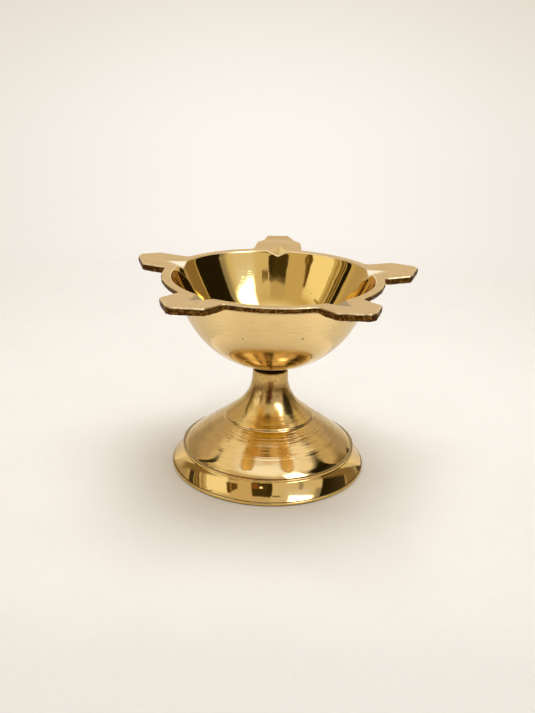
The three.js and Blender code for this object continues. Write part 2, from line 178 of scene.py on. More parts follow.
class Graph:
    """The shader graph of one material or world, started empty."""

    def __init__(self, owner: bpy.types.ID) -> None:
        """Clears the owner's nodes and keeps its tree."""
        owner.use_nodes = True
        self.tree = owner.node_tree
        self.tree.nodes.clear()

    def add(self, kind: str, sockets: dict[Any, Any], **settings: Any) -> bpy.types.Node:
        """Adds one node.

        Args:
            kind: The node's type name after "ShaderNode".
            sockets: Input sockets by name or number, each a Value, a socket, a node whose first
                output is meant, or a constant.
            settings: The node's own properties, which are set first.

        Returns:
            The new node.
        """
        node = self.tree.nodes.new("ShaderNode" + kind)
        for name, value in settings.items():
            setattr(node, name, value)
        for name, value in sockets.items():
            if isinstance(value, Value):
                value = value.socket
            elif isinstance(value, bpy.types.Node):
                value = value.outputs[0]
            if isinstance(value, bpy.types.NodeSocket):
                self.tree.links.new(value, node.inputs[name])
            else:
                node.inputs[name].default_value = value
        return node

    def number(self, kind: str, sockets: dict[Any, Any], output: Any = 0, **settings: Any) -> Value:
        """Adds one node and returns one of its outputs as a Value."""
        return Value(self, self.add(kind, sockets, **settings).outputs[output])

    def attribute(self, name: str) -> Value:
        """The number that a mesh stores under a name."""
        return self.number("Attribute", {}, "Fac", attribute_name=name)

    def parts(self, place: bpy.types.NodeSocket) -> list[Value]:
        """The x, y and z of a place."""
        node = self.add("SeparateXYZ", {0: place})
        return [Value(self, out) for out in node.outputs]

    def colours(self, factor: Any, first: Any, second: Any) -> bpy.types.NodeSocket:
        """Mixes two colours, from the first at factor 0 to the second at factor 1."""
        sockets = {0: factor, 6: first, 7: second}
        return self.add("Mix", sockets, data_type="RGBA", clamp_factor=True).outputs[2]

    def painted(self, base: Any, *layers: tuple[Any, Any]) -> Any:
        """Paints colours over a base, one after another.

        Args:
            base: The colour underneath.
            layers: Each layer's mask from 0 to 1, and its colour.

        Returns:
            The colour on top.
        """
        for mask, colour in layers:
            base = self.colours(mask, base, colour)
        return base

    def end_mixed(self, factor: Any, first: bpy.types.Node, second: bpy.types.Node) -> None:
        """Ends a material in two shaders, the first at factor 0 and the second at factor 1."""
        mixed = self.add("MixShader", {0: factor, 1: first, 2: second})
        self.add("OutputMaterial", {"Surface": mixed})


class Surface(Graph):
    """The graph of a metal surface, with the lamp's own coordinates in millimetres."""

    def __init__(self, name: str) -> None:
        """Starts a material with a name, and centres its coordinates on the lamp's axis."""
        self.material = bpy.data.materials.new(name)
        super().__init__(self.material)
        sockets = {
            "Vector": self.add("TexCoord", {}).outputs["Object"],
            "Location": (-AXIS[0] / MM, -AXIS[1] / MM, 0.0),
            "Scale": (1.0 / MM, 1.0 / MM, 1.0 / MM),
        }
        self.point = self.add("Mapping", sockets, vector_type="POINT").outputs[0]
        self.x, self.y, self.z = self.parts(self.point)
        self.radius = (self.x * self.x + self.y * self.y).root()

    def stretched(self, around: float, along: Value) -> bpy.types.NodeSocket:
        """A place for noise that runs in rings: slow round the lamp, quick along its section.

        Args:
            around: How quickly the noise changes across the lamp, per millimetre.
            along: The quick coordinate.

        Returns:
            The combined vector.
        """
        sockets = {0: self.x * around, 1: self.y * around, 2: along}
        return self.add("CombineXYZ", sockets).outputs[0]

    def brushed(self, along: float, across: float) -> bpy.types.NodeSocket:
        """A place for noise in straight brushed lines along x, with a rate for each way."""
        sockets = {0: self.x * along, 1: self.y * across, 2: self.z * across}
        return self.add("CombineXYZ", sockets).outputs[0]

    def noise(self, scale: float, detail: float, place: Any = None, rough: float = 0.5) -> Value:
        """Noise between about 0 and 1.

        Args:
            scale: Cycles per millimetre.
            detail: Octaves.
            place: The vector that it reads, or the lamp's own coordinates.
            rough: How strong the finer octaves are.

        Returns:
            The noise value.
        """
        sockets = {
            "Vector": place if place is not None else self.point,
            "Scale": scale, "Detail": detail, "Roughness": rough,
        }
        return self.number("TexNoise", sockets, "Fac")

    def pits(self, scale: float, width: float, share: float) -> Value:
        """Small round pits scattered over the surface, 1 in a pit and 0 outside.

        Args:
            scale: Cells per millimetre.
            width: How wide a pit is, as a share of its cell.
            share: Which share of the cells holds a pit.

        Returns:
            The pit mask.
        """
        sockets = {"Vector": self.point, "Scale": scale, "Randomness": 1.0}
        node = self.add("TexVoronoi", sockets, feature="F1")
        tone = self.add("SeparateColor", {0: node.outputs["Color"]}).outputs[0]
        chosen = Value(self, tone).step(share + 0.02, share)
        return Value(self, node.outputs["Distance"]).step(width, width * 0.4) * chosen

    def bumps(self, *layers: tuple[Value, float]) -> Any:
        """Lays bumps on top of each other.

        Args:
            layers: Each layer's height from 0 to 1, and its depth in millimetres.

        Returns:
            The normal with all of them.
        """
        normal = None
        for height, depth in layers:
            sockets = {"Height": height, "Distance": depth * MM, "Strength": 1.0}
            if normal is not None:
                sockets["Normal"] = normal
            normal = self.add("Bump", sockets).outputs[0]
        return normal

    @staticmethod
    def eased(start: Value, *layers: tuple[Any, Any]) -> Value:
        """Brings a number to one target after another: start + (target - start) x mask.

        Args:
            start: The number underneath.
            layers: Each layer's mask from 0 to 1, and its target.

        Returns:
            The number on top.
        """
        for mask, target in layers:
            start = start + (target - start) * mask
        return start

    def finish(self, colour: Any, roughness: Any, normal: Any) -> bpy.types.Material:
        """Ends the material in one shader of bare metal.

        Args:
            colour: Its base colour.
            roughness: Its roughness.
            normal: Its bumped normal.

        Returns:
            The material.
        """
        sockets = {
            "Base Color": colour, "Roughness": roughness, "Metallic": 1.0, "Normal": normal,
        }
        shader = self.add("BsdfPrincipled", sockets)
        self.add("OutputMaterial", {"Surface": shader})
        return self.material


# Shapes


def unit(way: Array) -> Array:
    """A plane vector at a length of 1."""
    return way / np.hypot(*way)


def circle(radius: Any, angle: Array) -> Array:
    """Plane points (r cos a, r sin a), one for each angle a."""
    return radius * np.c_[np.cos(angle), np.sin(angle)]


def ringed(radius: Any, angle: Array, height: Any) -> Array:
    """Corners (r cos a, r sin a, z) about the lamp's axis, from arrays that fit each other."""
    radius, angle, height = np.broadcast_arrays(radius, angle, height)
    return np.stack([radius * np.cos(angle), radius * np.sin(angle), height], axis=-1)


def raised(plan: Array, height: Array) -> Array:
    """Plan points put together with their heights as corners."""
    return np.concatenate([plan, height[..., None]], axis=-1)


def wrapped(angle: Array) -> Array:
    """An angle brought to within half a turn of 0."""
    return np.arctan2(np.sin(angle), np.cos(angle))


def out_and_across(degrees: float, x: Array, y: Array) -> tuple[Array, Array]:
    """Points out along a bearing, x cos a + y sin a, and across it, y cos a - x sin a."""
    turn = math.radians(degrees)
    return x * math.cos(turn) + y * math.sin(turn), -x * math.sin(turn) + y * math.cos(turn)


@dataclass
class Section:
    """A section line of [radius, height] points in millimetres that is drawn on piece by piece."""

    points: list[Array] = field(default_factory=list)
    marks: dict[str, int] = field(default_factory=dict)

    def mark(self, name: str) -> "Section":
        """Remembers how many points the line has here."""
        self.marks[name] = sum(len(part) for part in self.points)
        return self

    def put(self, points: Any) -> "Section":
        """Adds points as they are."""
        self.points.append(np.atleast_2d(np.asarray(points, float)))
        return self

    def line(self, end: Pair, steps: int) -> "Section":
        """A straight run to a point, in even steps, without its first point."""
        return self.bow(end, 0.0, steps)

    def bow(self, end: Pair, rise: float, steps: int) -> "Section":
        """A shallow parabola from the line's end, without its first point.

        At a share t of the way it stands 4 t (1 - t) times its rise out on the left of its chord.

        Args:
            end: Where it ends.
            rise: How far its middle stands out.
            steps: How many even steps it has.

        Returns:
            This section.
        """
        start = self.points[-1][-1]
        along = np.asarray(end) - start
        left = unit(np.array([-along[1], along[0]]))
        share = np.linspace(0.0, 1.0, steps + 1)[1:, None]
        return self.put(start + along * share + left * 4.0 * rise * share * (1.0 - share))

    def arc(self, centre: Pair, radius: float, start: float, end: float, steps: int) -> "Section":
        """A circular arc about a centre from one angle to another in degrees, both included."""
        angle = np.radians(np.linspace(start, end, steps + 1))
        return self.put(np.asarray(centre) + circle(radius, angle))

    def array(self) -> Array:
        """All points in order."""
        return np.concatenate(self.points)


def soft_over(value: Array, soft: float) -> Array:
    """max(value, 0) with its corner rounded over a width: (value + sqrt(value^2 + soft^2)) / 2."""
    return 0.5 * (value + np.sqrt(value * value + soft * soft))


def soft_under(first: Array, second: Array, soft: float) -> Array:
    """The smaller of two surfaces, with the crease between them rounded over a width."""
    return first - soft_over(first - second, soft)


def smooth(value: Array) -> Array:
    """3 t^2 - 2 t^3 of the value held between 0 and 1."""
    held = np.clip(value, 0.0, 1.0)
    return held * held * (3.0 - 2.0 * held)


def ripple(around: Array, up: Array, seed: int, waves: tuple[int, int], count: int) -> Array:
    """A sum of sine waves over a closed strip, between about -1 and 1.

    Each wave is sin(whole number x around + number x up + phase), with random numbers from the
    seed, and its height falls as the square root of its count.

    Args:
        around: The angle along the strip, TURN for one way round.
        up: The height across the strip in millimetres.
        seed: The seed of the random numbers.
        waves: The fewest and the most waves round the strip.
        count: How many waves are added.

    Returns:
        The ripple at each place.
    """
    draw = np.random.default_rng(seed)
    whole = draw.integers(waves[0], waves[1], count)[:, None]
    rise = draw.uniform(-2.6, 2.6, count)[:, None]
    phase = draw.uniform(0.0, TURN, count)[:, None]
    flat_around, flat_up = np.broadcast_arrays(around, up)
    wave = np.sin(whole * flat_around.reshape(1, -1) + rise * flat_up.reshape(1, -1) + phase)
    return (wave.sum(0) / math.sqrt(count)).reshape(flat_around.shape)


def grid_faces(rows: int, columns: int, ring: bool) -> list[list[int]]:
    """Quads of a grid that closes round its columns.

    Args:
        rows: How many rows it has.
        columns: How many columns it has.
        ring: Whether its last row joins its first one too.

    Returns:
        Each quad's four corner numbers.
    """
    last = rows if ring else rows - 1
    row, column = np.meshgrid(np.arange(last), np.arange(columns), indexing="ij")
    below, beside = (row + 1) % rows, (column + 1) % columns
    quads = np.stack(
        [row * columns + column, row * columns + beside,
         below * columns + beside, below * columns + column], axis=-1)
    return quads.reshape(-1, 4).tolist()


def pole_faces(pole: int, first: int, columns: int, flip: bool) -> list[list[int]]:
    """A fan of triangles from a pole to a row of corners.

    Args:
        pole: The pole's number.
        first: The number of the row's first corner.
        columns: How many corners the row has.
        flip: Whether the fan goes round the other way.

    Returns:
        Each triangle's three corner numbers.
    """
    here = first + np.arange(columns)
    beside = first + (np.arange(columns) + 1) % columns
    ends = [beside, here] if flip else [here, beside]
    return np.stack([np.full(columns, pole), *ends], axis=-1).tolist()


def linked(name: str, data: bpy.types.ID) -> bpy.types.Object:
    """A new object of some data, linked into the scene."""
    item = bpy.data.objects.new(name, data)
    bpy.context.scene.collection.objects.link(item)
    return item


def closed_piece(name: str, grid: Array, poles: list[float],
                 zones: dict[Zone, Array]) -> bpy.types.Object:
    """A closed piece from a grid of rows by columns that goes round the lamp.

    Args:
        name: The piece's name.
        grid: Corners in millimetres about the lamp's axis, rows x columns x 3.
        poles: Heights on the axis that close the first and the last row, or none for a ring.
        zones: Each zone's value for every row, or for every corner.

    Returns:
        The new object, whose faces point outwards.
    """
    rows, columns = grid.shape[:2]
    corners = grid.reshape(-1, 3)
    faces = grid_faces(rows, columns, not poles)
    if poles:
        corners = np.vstack([corners, [0.0, 0.0, poles[0]], [0.0, 0.0, poles[1]]])
        faces += pole_faces(rows * columns, 0, columns, True)
        faces += pole_faces(rows * columns + 1, (rows - 1) * columns, columns, False)
    places = corners * MM + np.array([*AXIS, 0.0])
    mesh = bpy.data.meshes.new(name)
    mesh.from_pydata(places.tolist(), [], faces)
    for zone, values in zones.items():
        full = np.broadcast_to(values if values.ndim == 2 else values[:, None], (rows, columns))
        ends = [full[0].mean(), full[-1].mean()] if poles else []
        stored = mesh.attributes.new(zone.value, "FLOAT", "POINT")
        stored.data.foreach_set("value", np.append(full.ravel(), ends).astype(np.float32))
    mesh.shade_smooth()
    mesh.update()
    if signed_volume(mesh) < 0.0:
        mesh.flip_normals()
    return linked(name, mesh)


def signed_volume(mesh: bpy.types.Mesh) -> float:
    """The volume inside a closed mesh: the sum of a . (b x c) / 6 over its triangles a, b, c.

    Args:
        mesh: The mesh.

    Returns:
        Its volume, less than nothing if its faces point inwards.
    """
    mesh.calc_loop_triangles()
    corners = np.empty(len(mesh.vertices) * 3, np.float32)
    mesh.vertices.foreach_get("co", corners)
    index = np.empty(len(mesh.loop_triangles) * 3, np.int32)
    mesh.loop_triangles.foreach_get("vertices", index)
    a, b, c = corners.reshape(-1, 3)[index].reshape(-1, 3, 3).swapaxes(0, 1).astype(float)
    return float(np.einsum("ij,ij->i", a, np.cross(b, c)).sum() / 6.0)


def report(piece: bpy.types.Object) -> None:
    """Logs a piece's size and its number of faces."""
    size = ", ".join(f"{v / MM:.1f}" for v in piece.dimensions)
    log.info("%s: %s mm, %d faces", piece.name, size, len(piece.data.polygons))


# The rim with its five lugs


@dataclass(frozen=True)
class Lug:
    """One lug as it was filed: bearings in degrees, and corners out from and across its middle."""

    bearing: float
    groove: float
    widths: Pair
    corners: tuple[Pair, ...]
    roundings: tuple[float, ...] = (1.3, 0.9, 0.9, 1.3)
    bent: bool = False


LUGS = (
    Lug(14.0, 13.6, (10.0, 10.0), ((48.4, -10.2), (54.5, -1.0), (54.2, 2.0), (48.1, 9.3))),
    Lug(88.0, 87.3, (9.9, 9.3),
        ((48.7, -9.4), (51.8, -6.8), (56.4, -3.9), (55.7, 4.7), (51.5, 5.9), (48.2, 8.4)),
        (1.3, 1.5, 0.9, 0.9, 1.5, 1.3), True),
    Lug(158.5, 159.0, (9.4, 8.7), ((49.4, -8.0), (54.3, -2.0), (53.9, 1.2), (47.6, 9.4))),
    Lug(232.8, 232.1, (9.8, 9.7), ((48.7, -8.9), (54.6, -0.6), (54.6, 1.8), (47.6, 9.6))),
    Lug(304.6, 304.3, (9.2, 9.2), ((47.5, -9.0), (54.7, -1.2), (54.6, 1.3), (48.3, 8.9))),
)
FRONT_BEARINGS = (210.0, 330.0)

# Steps of a lug's rounded corner and root, of the rim between two lugs and of each line after that
CORNER_STEPS, ROOT_STEPS, RIM_STEPS, SIDE_STEPS = 8, 8, 41, 12

# Rows of the cast edge: the share of its thickness above each, and how far in it lies
EDGE_DEPTHS = np.array([0.0, 0.04, 0.12, 0.24, 0.38, 0.52, 0.66, 0.79, 0.9, 0.97, 1.0])
EDGE_TUCKS = np.array([0.34, 0.14, 0.03, 0.0, 0.02, 0.0, 0.03, 0.06, 0.14, 0.3, 0.55])


def rounded_corner(before: Array, corner: Array, after: Array, radius: float) -> Array:
    """The arc that rounds one corner of an outline, tangent to both of its sides.

    Args:
        before: The corner before.
        corner: The corner that is rounded.
        after: The corner after.
        radius: The arc's radius.

    Returns:
        The arc's points in the order of the outline.
    """
    back, on = unit(before - corner), unit(after - corner)
    half = 0.5 * math.acos(float(np.clip(back @ on, -1.0, 1.0)))
    centre = corner + unit(back + on) * radius / math.sin(half)
    first = corner + back * radius / math.tan(half) - centre
    last = corner + on * radius / math.tan(half) - centre
    start = math.atan2(first[1], first[0])
    sweep = (math.atan2(last[1], last[0]) - start + math.pi) % TURN - math.pi
    return centre + circle(radius, start + sweep * np.linspace(0.0, 1.0, CORNER_STEPS + 1))


@dataclass
class Rim:
    """The outline and the top of the rim plate with its lugs, bent tab and wick grooves."""

    plate_top: float = 72.5
    mouth_radius: float = 36.15
    rim_radius: float = 39.55
    rim_thickness: float = 1.85
    lug_thickness: float = 2.6
    crease: float = 38.6
    slope: float = 0.06
    root_fillet: float = 1.6
    bend: float = 51.5
    bend_slope: float = 0.14
    groove_width: float = 8.0
    groove_depth: float = 1.75
    lug_run: float = 2.5
    groove_length: float = 8.3
    soft_crease: float = 0.5
    soft_groove: float = 0.16
    soft_bottom: float = 0.3
    turn_weight: float = 14.0
    groove_weight: float = 95.0
    groove_reach: float = 0.085

    def lug_outline(self, lug: Lug) -> Array:
        """One lug's outline about the lamp's axis.

        Args:
            lug: The lug.

        Returns:
            Its points anticlockwise, from rim to rim.
        """
        sides = []
        for side, width in zip((-1.0, 1.0), lug.widths):
            across = width + self.root_fillet
            out = math.sqrt((self.rim_radius + self.root_fillet) ** 2 - across ** 2)
            angle = np.linspace(math.atan2(-across, -out), -math.pi / 2, ROOT_STEPS + 1)
            arc = np.array([out, across]) + circle(self.root_fillet, angle)
            sides.append(arc * [1.0, side])
        start, end = sides[0], sides[1][::-1]
        corners = [start[-1], *(np.array(c) for c in lug.corners), end[0]]
        arcs = [rounded_corner(*corners[i:i + 3], radius) for i, radius in enumerate(lug.roundings)]
        turn = math.radians(lug.bearing)
        spin = np.array([[math.cos(turn), math.sin(turn)], [-math.sin(turn), math.cos(turn)]])
        return np.concatenate([start, *arcs, end]) @ spin

    def outline(self) -> Array:
        """The whole outline, with rim arcs between the lugs.

        Returns:
            Fine points anticlockwise, closed without repeating its start.
        """
        parts = []
        loops = [self.lug_outline(lug) for lug in LUGS]
        for here, after in zip(loops, loops[1:] + loops[:1]):
            start = math.atan2(here[-1, 1], here[-1, 0])
            sweep = (math.atan2(after[0, 1], after[0, 0]) - start) % TURN
            angle = start + sweep * np.linspace(0.0, 1.0, RIM_STEPS + 1)[1:-1]
            parts += [here, circle(self.rim_radius, angle)]
        points = np.concatenate(parts)
        step = np.roll(points, -1, axis=0) - points
        share = np.linspace(0.0, 1.0, SIDE_STEPS, endpoint=False)[None, :, None]
        return (points[:, None] + step[:, None] * share).reshape(-1, 2)

    def columns(self, count: int) -> tuple[Array, Array]:
        """Where the columns of the bowl's grid stand.

        The columns share out a measure that grows with the outline's length, and more quickly
        across the wick grooves, so both come out crisp.

        Args:
            count: How many columns there are.

        Returns:
            Each column's point on the outline, and its outward normal.
        """
        points = self.outline()
        step = np.roll(points, -1, axis=0) - points
        angle = np.arctan2(points[:, 1], points[:, 0])
        turned = np.abs(wrapped(angle - np.roll(angle, -1)))
        away = wrapped(angle - np.radians([[lug.groove] for lug in LUGS]))
        near = np.exp(-(away / self.groove_reach) ** 4).sum(0)
        weight = self.turn_weight + self.groove_weight * near
        measure = np.hypot(step[:, 0], step[:, 1]) + turned * weight
        total = np.concatenate([[0.0], np.cumsum(measure)])
        place = np.linspace(0.0, total[-1], count, endpoint=False)
        x, y = np.vstack([points, points[:1]]).T
        chosen = np.c_[np.interp(place, total, x), np.interp(place, total, y)]
        along = np.roll(chosen, -1, axis=0) - np.roll(chosen, 1, axis=0)
        normal = np.c_[along[:, 1], -along[:, 0]] / np.hypot(along[:, 0], along[:, 1])[:, None]
        return chosen, normal

    def thickness(self, plan: Array) -> Array:
        """How thick the cast edge is at outline points: more where they reach past the rim."""
        lugged = smooth((np.hypot(plan[:, 0], plan[:, 1]) - self.rim_radius) / self.lug_run)
        return self.rim_thickness + (self.lug_thickness - self.rim_thickness) * lugged

    def top(self, x: Array, y: Array) -> Array:
        """The height of the plate and its lugs without the grooves.

        It is plate_top + slope x (out - crease) past the crease, where out is the distance along
        the nearest lug's middle, and the rear lug adds bend_slope x (out - bend) past its bend.

        Args:
            x: Where on the plate, to the right.
            y: Where on the plate, away from the camera.

        Returns:
            The height there.
        """
        height = np.full(np.shape(x), self.plate_top, float)
        for lug in LUGS:
            out, _ = out_and_across(lug.bearing, x, y)
            height = height + self.slope * soft_over(out - self.crease, self.soft_crease)
            if lug.bent:
                height = height + self.bend_slope * soft_over(out - self.bend, self.soft_crease)
        return height

    def surface(self, x: Array, y: Array) -> Array:
        """The height of the top with its wick grooves.

        Each groove is a V: a bottom that climbs outwards, and flanks as sqrt(across^2 + soft^2).

        Args:
            x: Where on the plate, to the right.
            y: Where on the plate, away from the camera.

        Returns:
            The height there.
        """
        height = self.top(x, y)
        end = self.mouth_radius + self.groove_length
        climb = (self.slope * (end - self.crease) + self.groove_depth) / self.groove_length
        flank = self.groove_depth / (0.5 * self.groove_width)
        for lug in LUGS:
            out, across = out_and_across(lug.groove, x, y)
            bottom = self.plate_top - self.groove_depth + climb * (out - self.mouth_radius)
            vee = bottom + flank * np.sqrt(across ** 2 + self.soft_bottom ** 2)
            height = np.where(out > 0.0, soft_under(height, vee, self.soft_groove), height)
        return height


@dataclass
class Bowl:
    """The bowl casting: polished inside, satin plate, rough cast edge and satin outside."""

    rim: Rim = field(default_factory=Rim)
    inner_radius: float = 32.98
    inner_centre: float = 73.88
    inner_touch: float = -31.0
    inner_slope: float = 0.42
    ball_radius: float = 33.9
    ball_centre: float = 72.5
    wall_touch: Pair = (30.49, 57.67)
    wall_top: Pair = (36.967, 71.0)
    wall_fillet: float = 0.7
    wall_growth: float = 1.15
    inside_change: Pair = (50.0, 20.0)
    outside_change: Pair = (52.0, 18.0)
    boss_radius: float = 5.4
    boss_bottom: float = 37.5
    socket_radius: float = 4.3
    socket_top: float = 39.8
    mouth_round: float = 0.45
    roughness: float = 0.16
    setback: float = 0.05
    waver: float = 0.05
    groove_start: Pair = (0.02, 0.14)
    shaded_from: float = 30.0
    shaded_side: float = 6.0
    columns: int = 696
    circle_rows: int = 29
    flare_rows: int = 12
    corner_rows: int = 4
    plate_rows: int = 26
    under_rows: int = 7
    wall_rows: int = 10
    ball_rows: int = 26

    def __post_init__(self) -> None:
        """Places the columns: plate angles that follow the outline, and even ones lower down."""
        self.outline, self.normal = self.rim.columns(self.columns)
        self.angle = np.unwrap(np.arctan2(self.outline[:, 1], self.outline[:, 0]))
        even = np.arange(self.columns) * TURN / self.columns
        self.even = even + np.mean(self.angle - even)

    @staticmethod
    def toward(start: Array, end: Array, distance: float) -> Array:
        """Points a distance from start towards end."""
        way = end - start
        return start + way * distance / np.linalg.norm(way, axis=-1, keepdims=True)

    @staticmethod
    def rounded(before: Array, corner: Array, after: Array, steps: int) -> Array:
        """A parabola past a corner, (1-t)^2 a + 2 t (1-t) b + t^2 c, without its first row."""
        t = np.linspace(0.0, 1.0, steps + 1)[1:, None, None]
        return (1 - t) ** 2 * before + 2 * t * (1 - t) * corner + t ** 2 * after

    def settled(self, section: Array, low: float, span: float) -> Array:
        """Turns section rows whose columns stand evenly low down and as on the plate at the top.

        At a height z the columns are the smooth share of (z - low) / span on their way over.

        Args:
            section: Rows x columns of [radius, height].
            low: Where the change starts.
            span: How high it goes on.

        Returns:
            Rows x columns x 3 in millimetres.
        """
        blend = smooth((section[..., 1] - low) / span)
        turned = self.even + (self.angle - self.even) * blend
        return ringed(section[..., 0], turned, section[..., 1])

    def inside_rows(self, corner: Array) -> Array:
        """Rows from the bottom of the bowl to just short of its mouth.

        Up to the touch, an angle in degrees, the section is a circle. Above it a parabola that
        leaves the circle without a kink runs up to the mouth's edge, ever steeper.

        Args:
            corner: Each column's mouth edge as [radius, height].

        Returns:
            Rows x columns x 3 in millimetres.
        """
        touch = math.radians(self.inner_touch)
        turn = np.linspace(-math.pi / 2, touch, self.circle_rows + 1)[1:]
        bottom = circle(self.inner_radius, turn) + [0.0, self.inner_centre]
        bottom = np.broadcast_to(bottom[:, None], (self.circle_rows, self.columns, 2))
        start = bottom[-1]
        reach = np.linalg.norm(corner - start, axis=-1, keepdims=True)
        bend = start + 0.5 * reach * np.array([-math.sin(touch), math.cos(touch)])
        end = self.toward(corner, bend, self.mouth_round)
        flare = self.rounded(start, bend, end, self.flare_rows)
        return self.settled(np.concatenate([bottom, flare]), *self.inside_change)

    def mouth_corner(self) -> Array:
        """Where the flare meets the plate or a groove: found by following each onto the other.

        Returns:
            Each column's [radius, height].
        """
        radius = np.full(self.columns, self.rim.mouth_radius)
        for _ in range(8):
            height = self.rim.surface(*circle(radius[:, None], self.angle).T)
            radius = self.rim.mouth_radius - self.inner_slope * (self.rim.plate_top - height)
        return np.c_[radius, height]

    def cast_edge(self) -> tuple[Array, Array]:
        """The rough outer edge, whose rows are pushed in from the outline by ripples.

        Returns:
            Where the plate ends, and the edge's rows from top to bottom.
        """
        step = np.hypot(*(np.roll(self.outline, -1, axis=0) - self.outline).T)
        around = np.concatenate([[0.0], np.cumsum(step)[:-1]]) / step.sum() * TURN
        depth = EDGE_DEPTHS[:, None]
        down = depth * self.rim.thickness(self.outline)
        rough = 0.5 * (ripple(around[None], down, 7, (90, 420), 26)
                       + ripple(around[None], down * 0.6, 11, (12, 80), 14))
        fade = smooth(depth / 0.12) * smooth((1.03 - depth) / 0.12)
        push = -EDGE_TUCKS[:, None] - self.roughness * (0.9 + 0.85 * rough) * fade - self.setback
        plan = self.outline + self.normal * push[..., None]
        height = self.rim.surface(plan[0, :, 0], plan[0, :, 1])[None] - down
        waver = ripple(around, np.zeros_like(around), 23, (30, 200), 18)
        height[1:] += self.waver * waver * smooth(depth[1:] / 0.4)
        return plan[0], raised(plan, height)[1:]

    def outside_rows(self, start: Array) -> Array:
        """Rows down the outside wall, round the ball and the boss and up the stud's socket.

        Args:
            start: Each column's [radius, height] under the rim.

        Returns:
            Rows x columns x 3 in millimetres.
        """
        share = (np.linspace(0.0, 1.0, self.wall_rows + 1)[1:] ** self.wall_growth)[:, None, None]
        touch = np.array(self.wall_touch)
        wall = start[None] + (touch - start[None]) * share
        boss, bottom = self.boss_radius, self.boss_bottom
        first = math.degrees(math.atan2(touch[1] - self.ball_centre, touch[0]))
        last = -math.degrees(math.acos((boss + 0.45) / self.ball_radius))
        ball_foot = self.ball_centre - math.sqrt(self.ball_radius ** 2 - boss ** 2)
        line = Section()
        line.arc((0.0, self.ball_centre), self.ball_radius, first, last, self.ball_rows)
        line.put([[boss + 0.12, ball_foot], [boss, ball_foot - 0.25]])
        line.line((boss, bottom + 0.2), 3).line((boss - 0.2, bottom), 2)
        line.line((self.socket_radius, bottom), 2).line((self.socket_radius, self.socket_top), 3)
        line.line((self.socket_radius * 0.4, self.socket_top), 2)
        rest = line.array()[1:, None]
        rest = np.broadcast_to(rest, (len(rest), self.columns, 2))
        return self.settled(np.concatenate([wall, rest]), *self.outside_change)

    def zones(self, grid: Array, ends: Array) -> dict[Zone, Array]:
        """Where each zone lies on the bowl.

        The grooves are found from their depth below the plate's top. The shaded zone is the
        rearward side of the two front grooves, where the finish paints a darker tone as shade.

        Args:
            grid: The bowl's corners in millimetres.
            ends: How many rows there are up to the end of the inside, lip, plate and cast edge.

        Returns:
            Each zone's value for every row, or for every corner.
        """
        row = np.arange(len(grid))
        inside, _, plate, edge = ends[:4]
        on_plate = (row >= inside) & (row < plate)
        cast = ((row >= plate) & (row < edge)).astype(float)
        cast[plate - 1:plate + 2] = 0.0, 0.0, 0.35
        depth = np.full(len(row), -1.0)
        depth[plate - 2] = -0.04
        depth[plate - 1:plate - 1 + len(EDGE_DEPTHS)] = EDGE_DEPTHS
        x, y, z = np.moveaxis(grid, -1, 0)
        sunk = smooth((self.rim.top(x, y) - z - self.groove_start[0]) / self.groove_start[1])
        shaded = np.zeros(z.shape)
        for lug in LUGS:
            if FRONT_BEARINGS[0] < lug.groove < FRONT_BEARINGS[1]:
                out, across = out_and_across(lug.groove, x, y)
                rearward = across * math.copysign(1.0, lug.groove - sum(FRONT_BEARINGS) / 2)
                near = (out > self.shaded_from) * (np.abs(across) < self.shaded_side)
                shaded += near * smooth(rearward / self.rim.soft_bottom + 0.5)
        return {
            Zone.INSIDE: (row < inside + 2).astype(float),
            Zone.PLATE: ((row >= inside + 2) & (row < plate)).astype(float),
            Zone.EDGE: cast,
            Zone.GROOVE: sunk * on_plate[:, None],
            Zone.SHADED: shaded,
            Zone.DEPTH: depth,
        }

    def build(self) -> bpy.types.Object:
        """Builds the bowl's closed mesh.

        The grid's rows follow the section from the bottom of the bowl over the mouth, plate, cast
        edge, underside and outside to the top of the stud's socket.

        Returns:
            The bowl piece.
        """
        rim, angle = self.rim, self.angle
        corner = self.mouth_corner()
        inside = self.inside_rows(corner)
        mouth = ringed(corner[:, 0], angle, corner[:, 1])
        plate_start = circle(corner[:, :1] + self.mouth_round, angle)
        plate_first = raised(plate_start, rim.surface(*plate_start.T))
        lip = self.rounded(inside[-1], mouth, plate_first, self.corner_rows)

        plate_end, edge = self.cast_edge()
        share = np.linspace(0.0, 1.0, self.plate_rows + 1)[1:]
        share = (0.55 * share + 0.45 * smooth(share))[:, None, None]
        plan = plate_start + (plate_end - plate_start) * share
        plate = raised(plan, rim.surface(plan[..., 0], plan[..., 1]))

        thickness = rim.thickness(self.outline)
        height = rim.plate_top - thickness
        lean = (self.wall_top[0] - self.wall_touch[0]) / (self.wall_top[1] - self.wall_touch[1])
        radius = self.wall_top[0] + lean * (height - self.wall_top[1])
        wall_corner = ringed(radius, angle, height)
        share = np.linspace(0.0, 1.0, self.under_rows + 2)[1:-1, None, None]
        plan = edge[-1, :, :2] + (wall_corner[:, :2] - edge[-1, :, :2]) * share
        under = raised(plan, rim.top(plan[..., 0], plan[..., 1]) - thickness)
        low = self.toward(np.c_[radius, height], np.array(self.wall_touch), self.wall_fillet)
        wall_first = ringed(low[:, 0], angle, low[:, 1])
        fillet = self.rounded(under[-1], wall_corner, wall_first, self.corner_rows)

        parts = [inside, lip, plate, edge, under, fillet, self.outside_rows(low)]
        grid = np.concatenate(parts)
        zones = self.zones(grid, np.cumsum([len(part) for part in parts]))
        poles = [self.inner_centre - self.inner_radius, self.socket_top]
        return closed_piece("bowl_casting", grid, poles, zones)


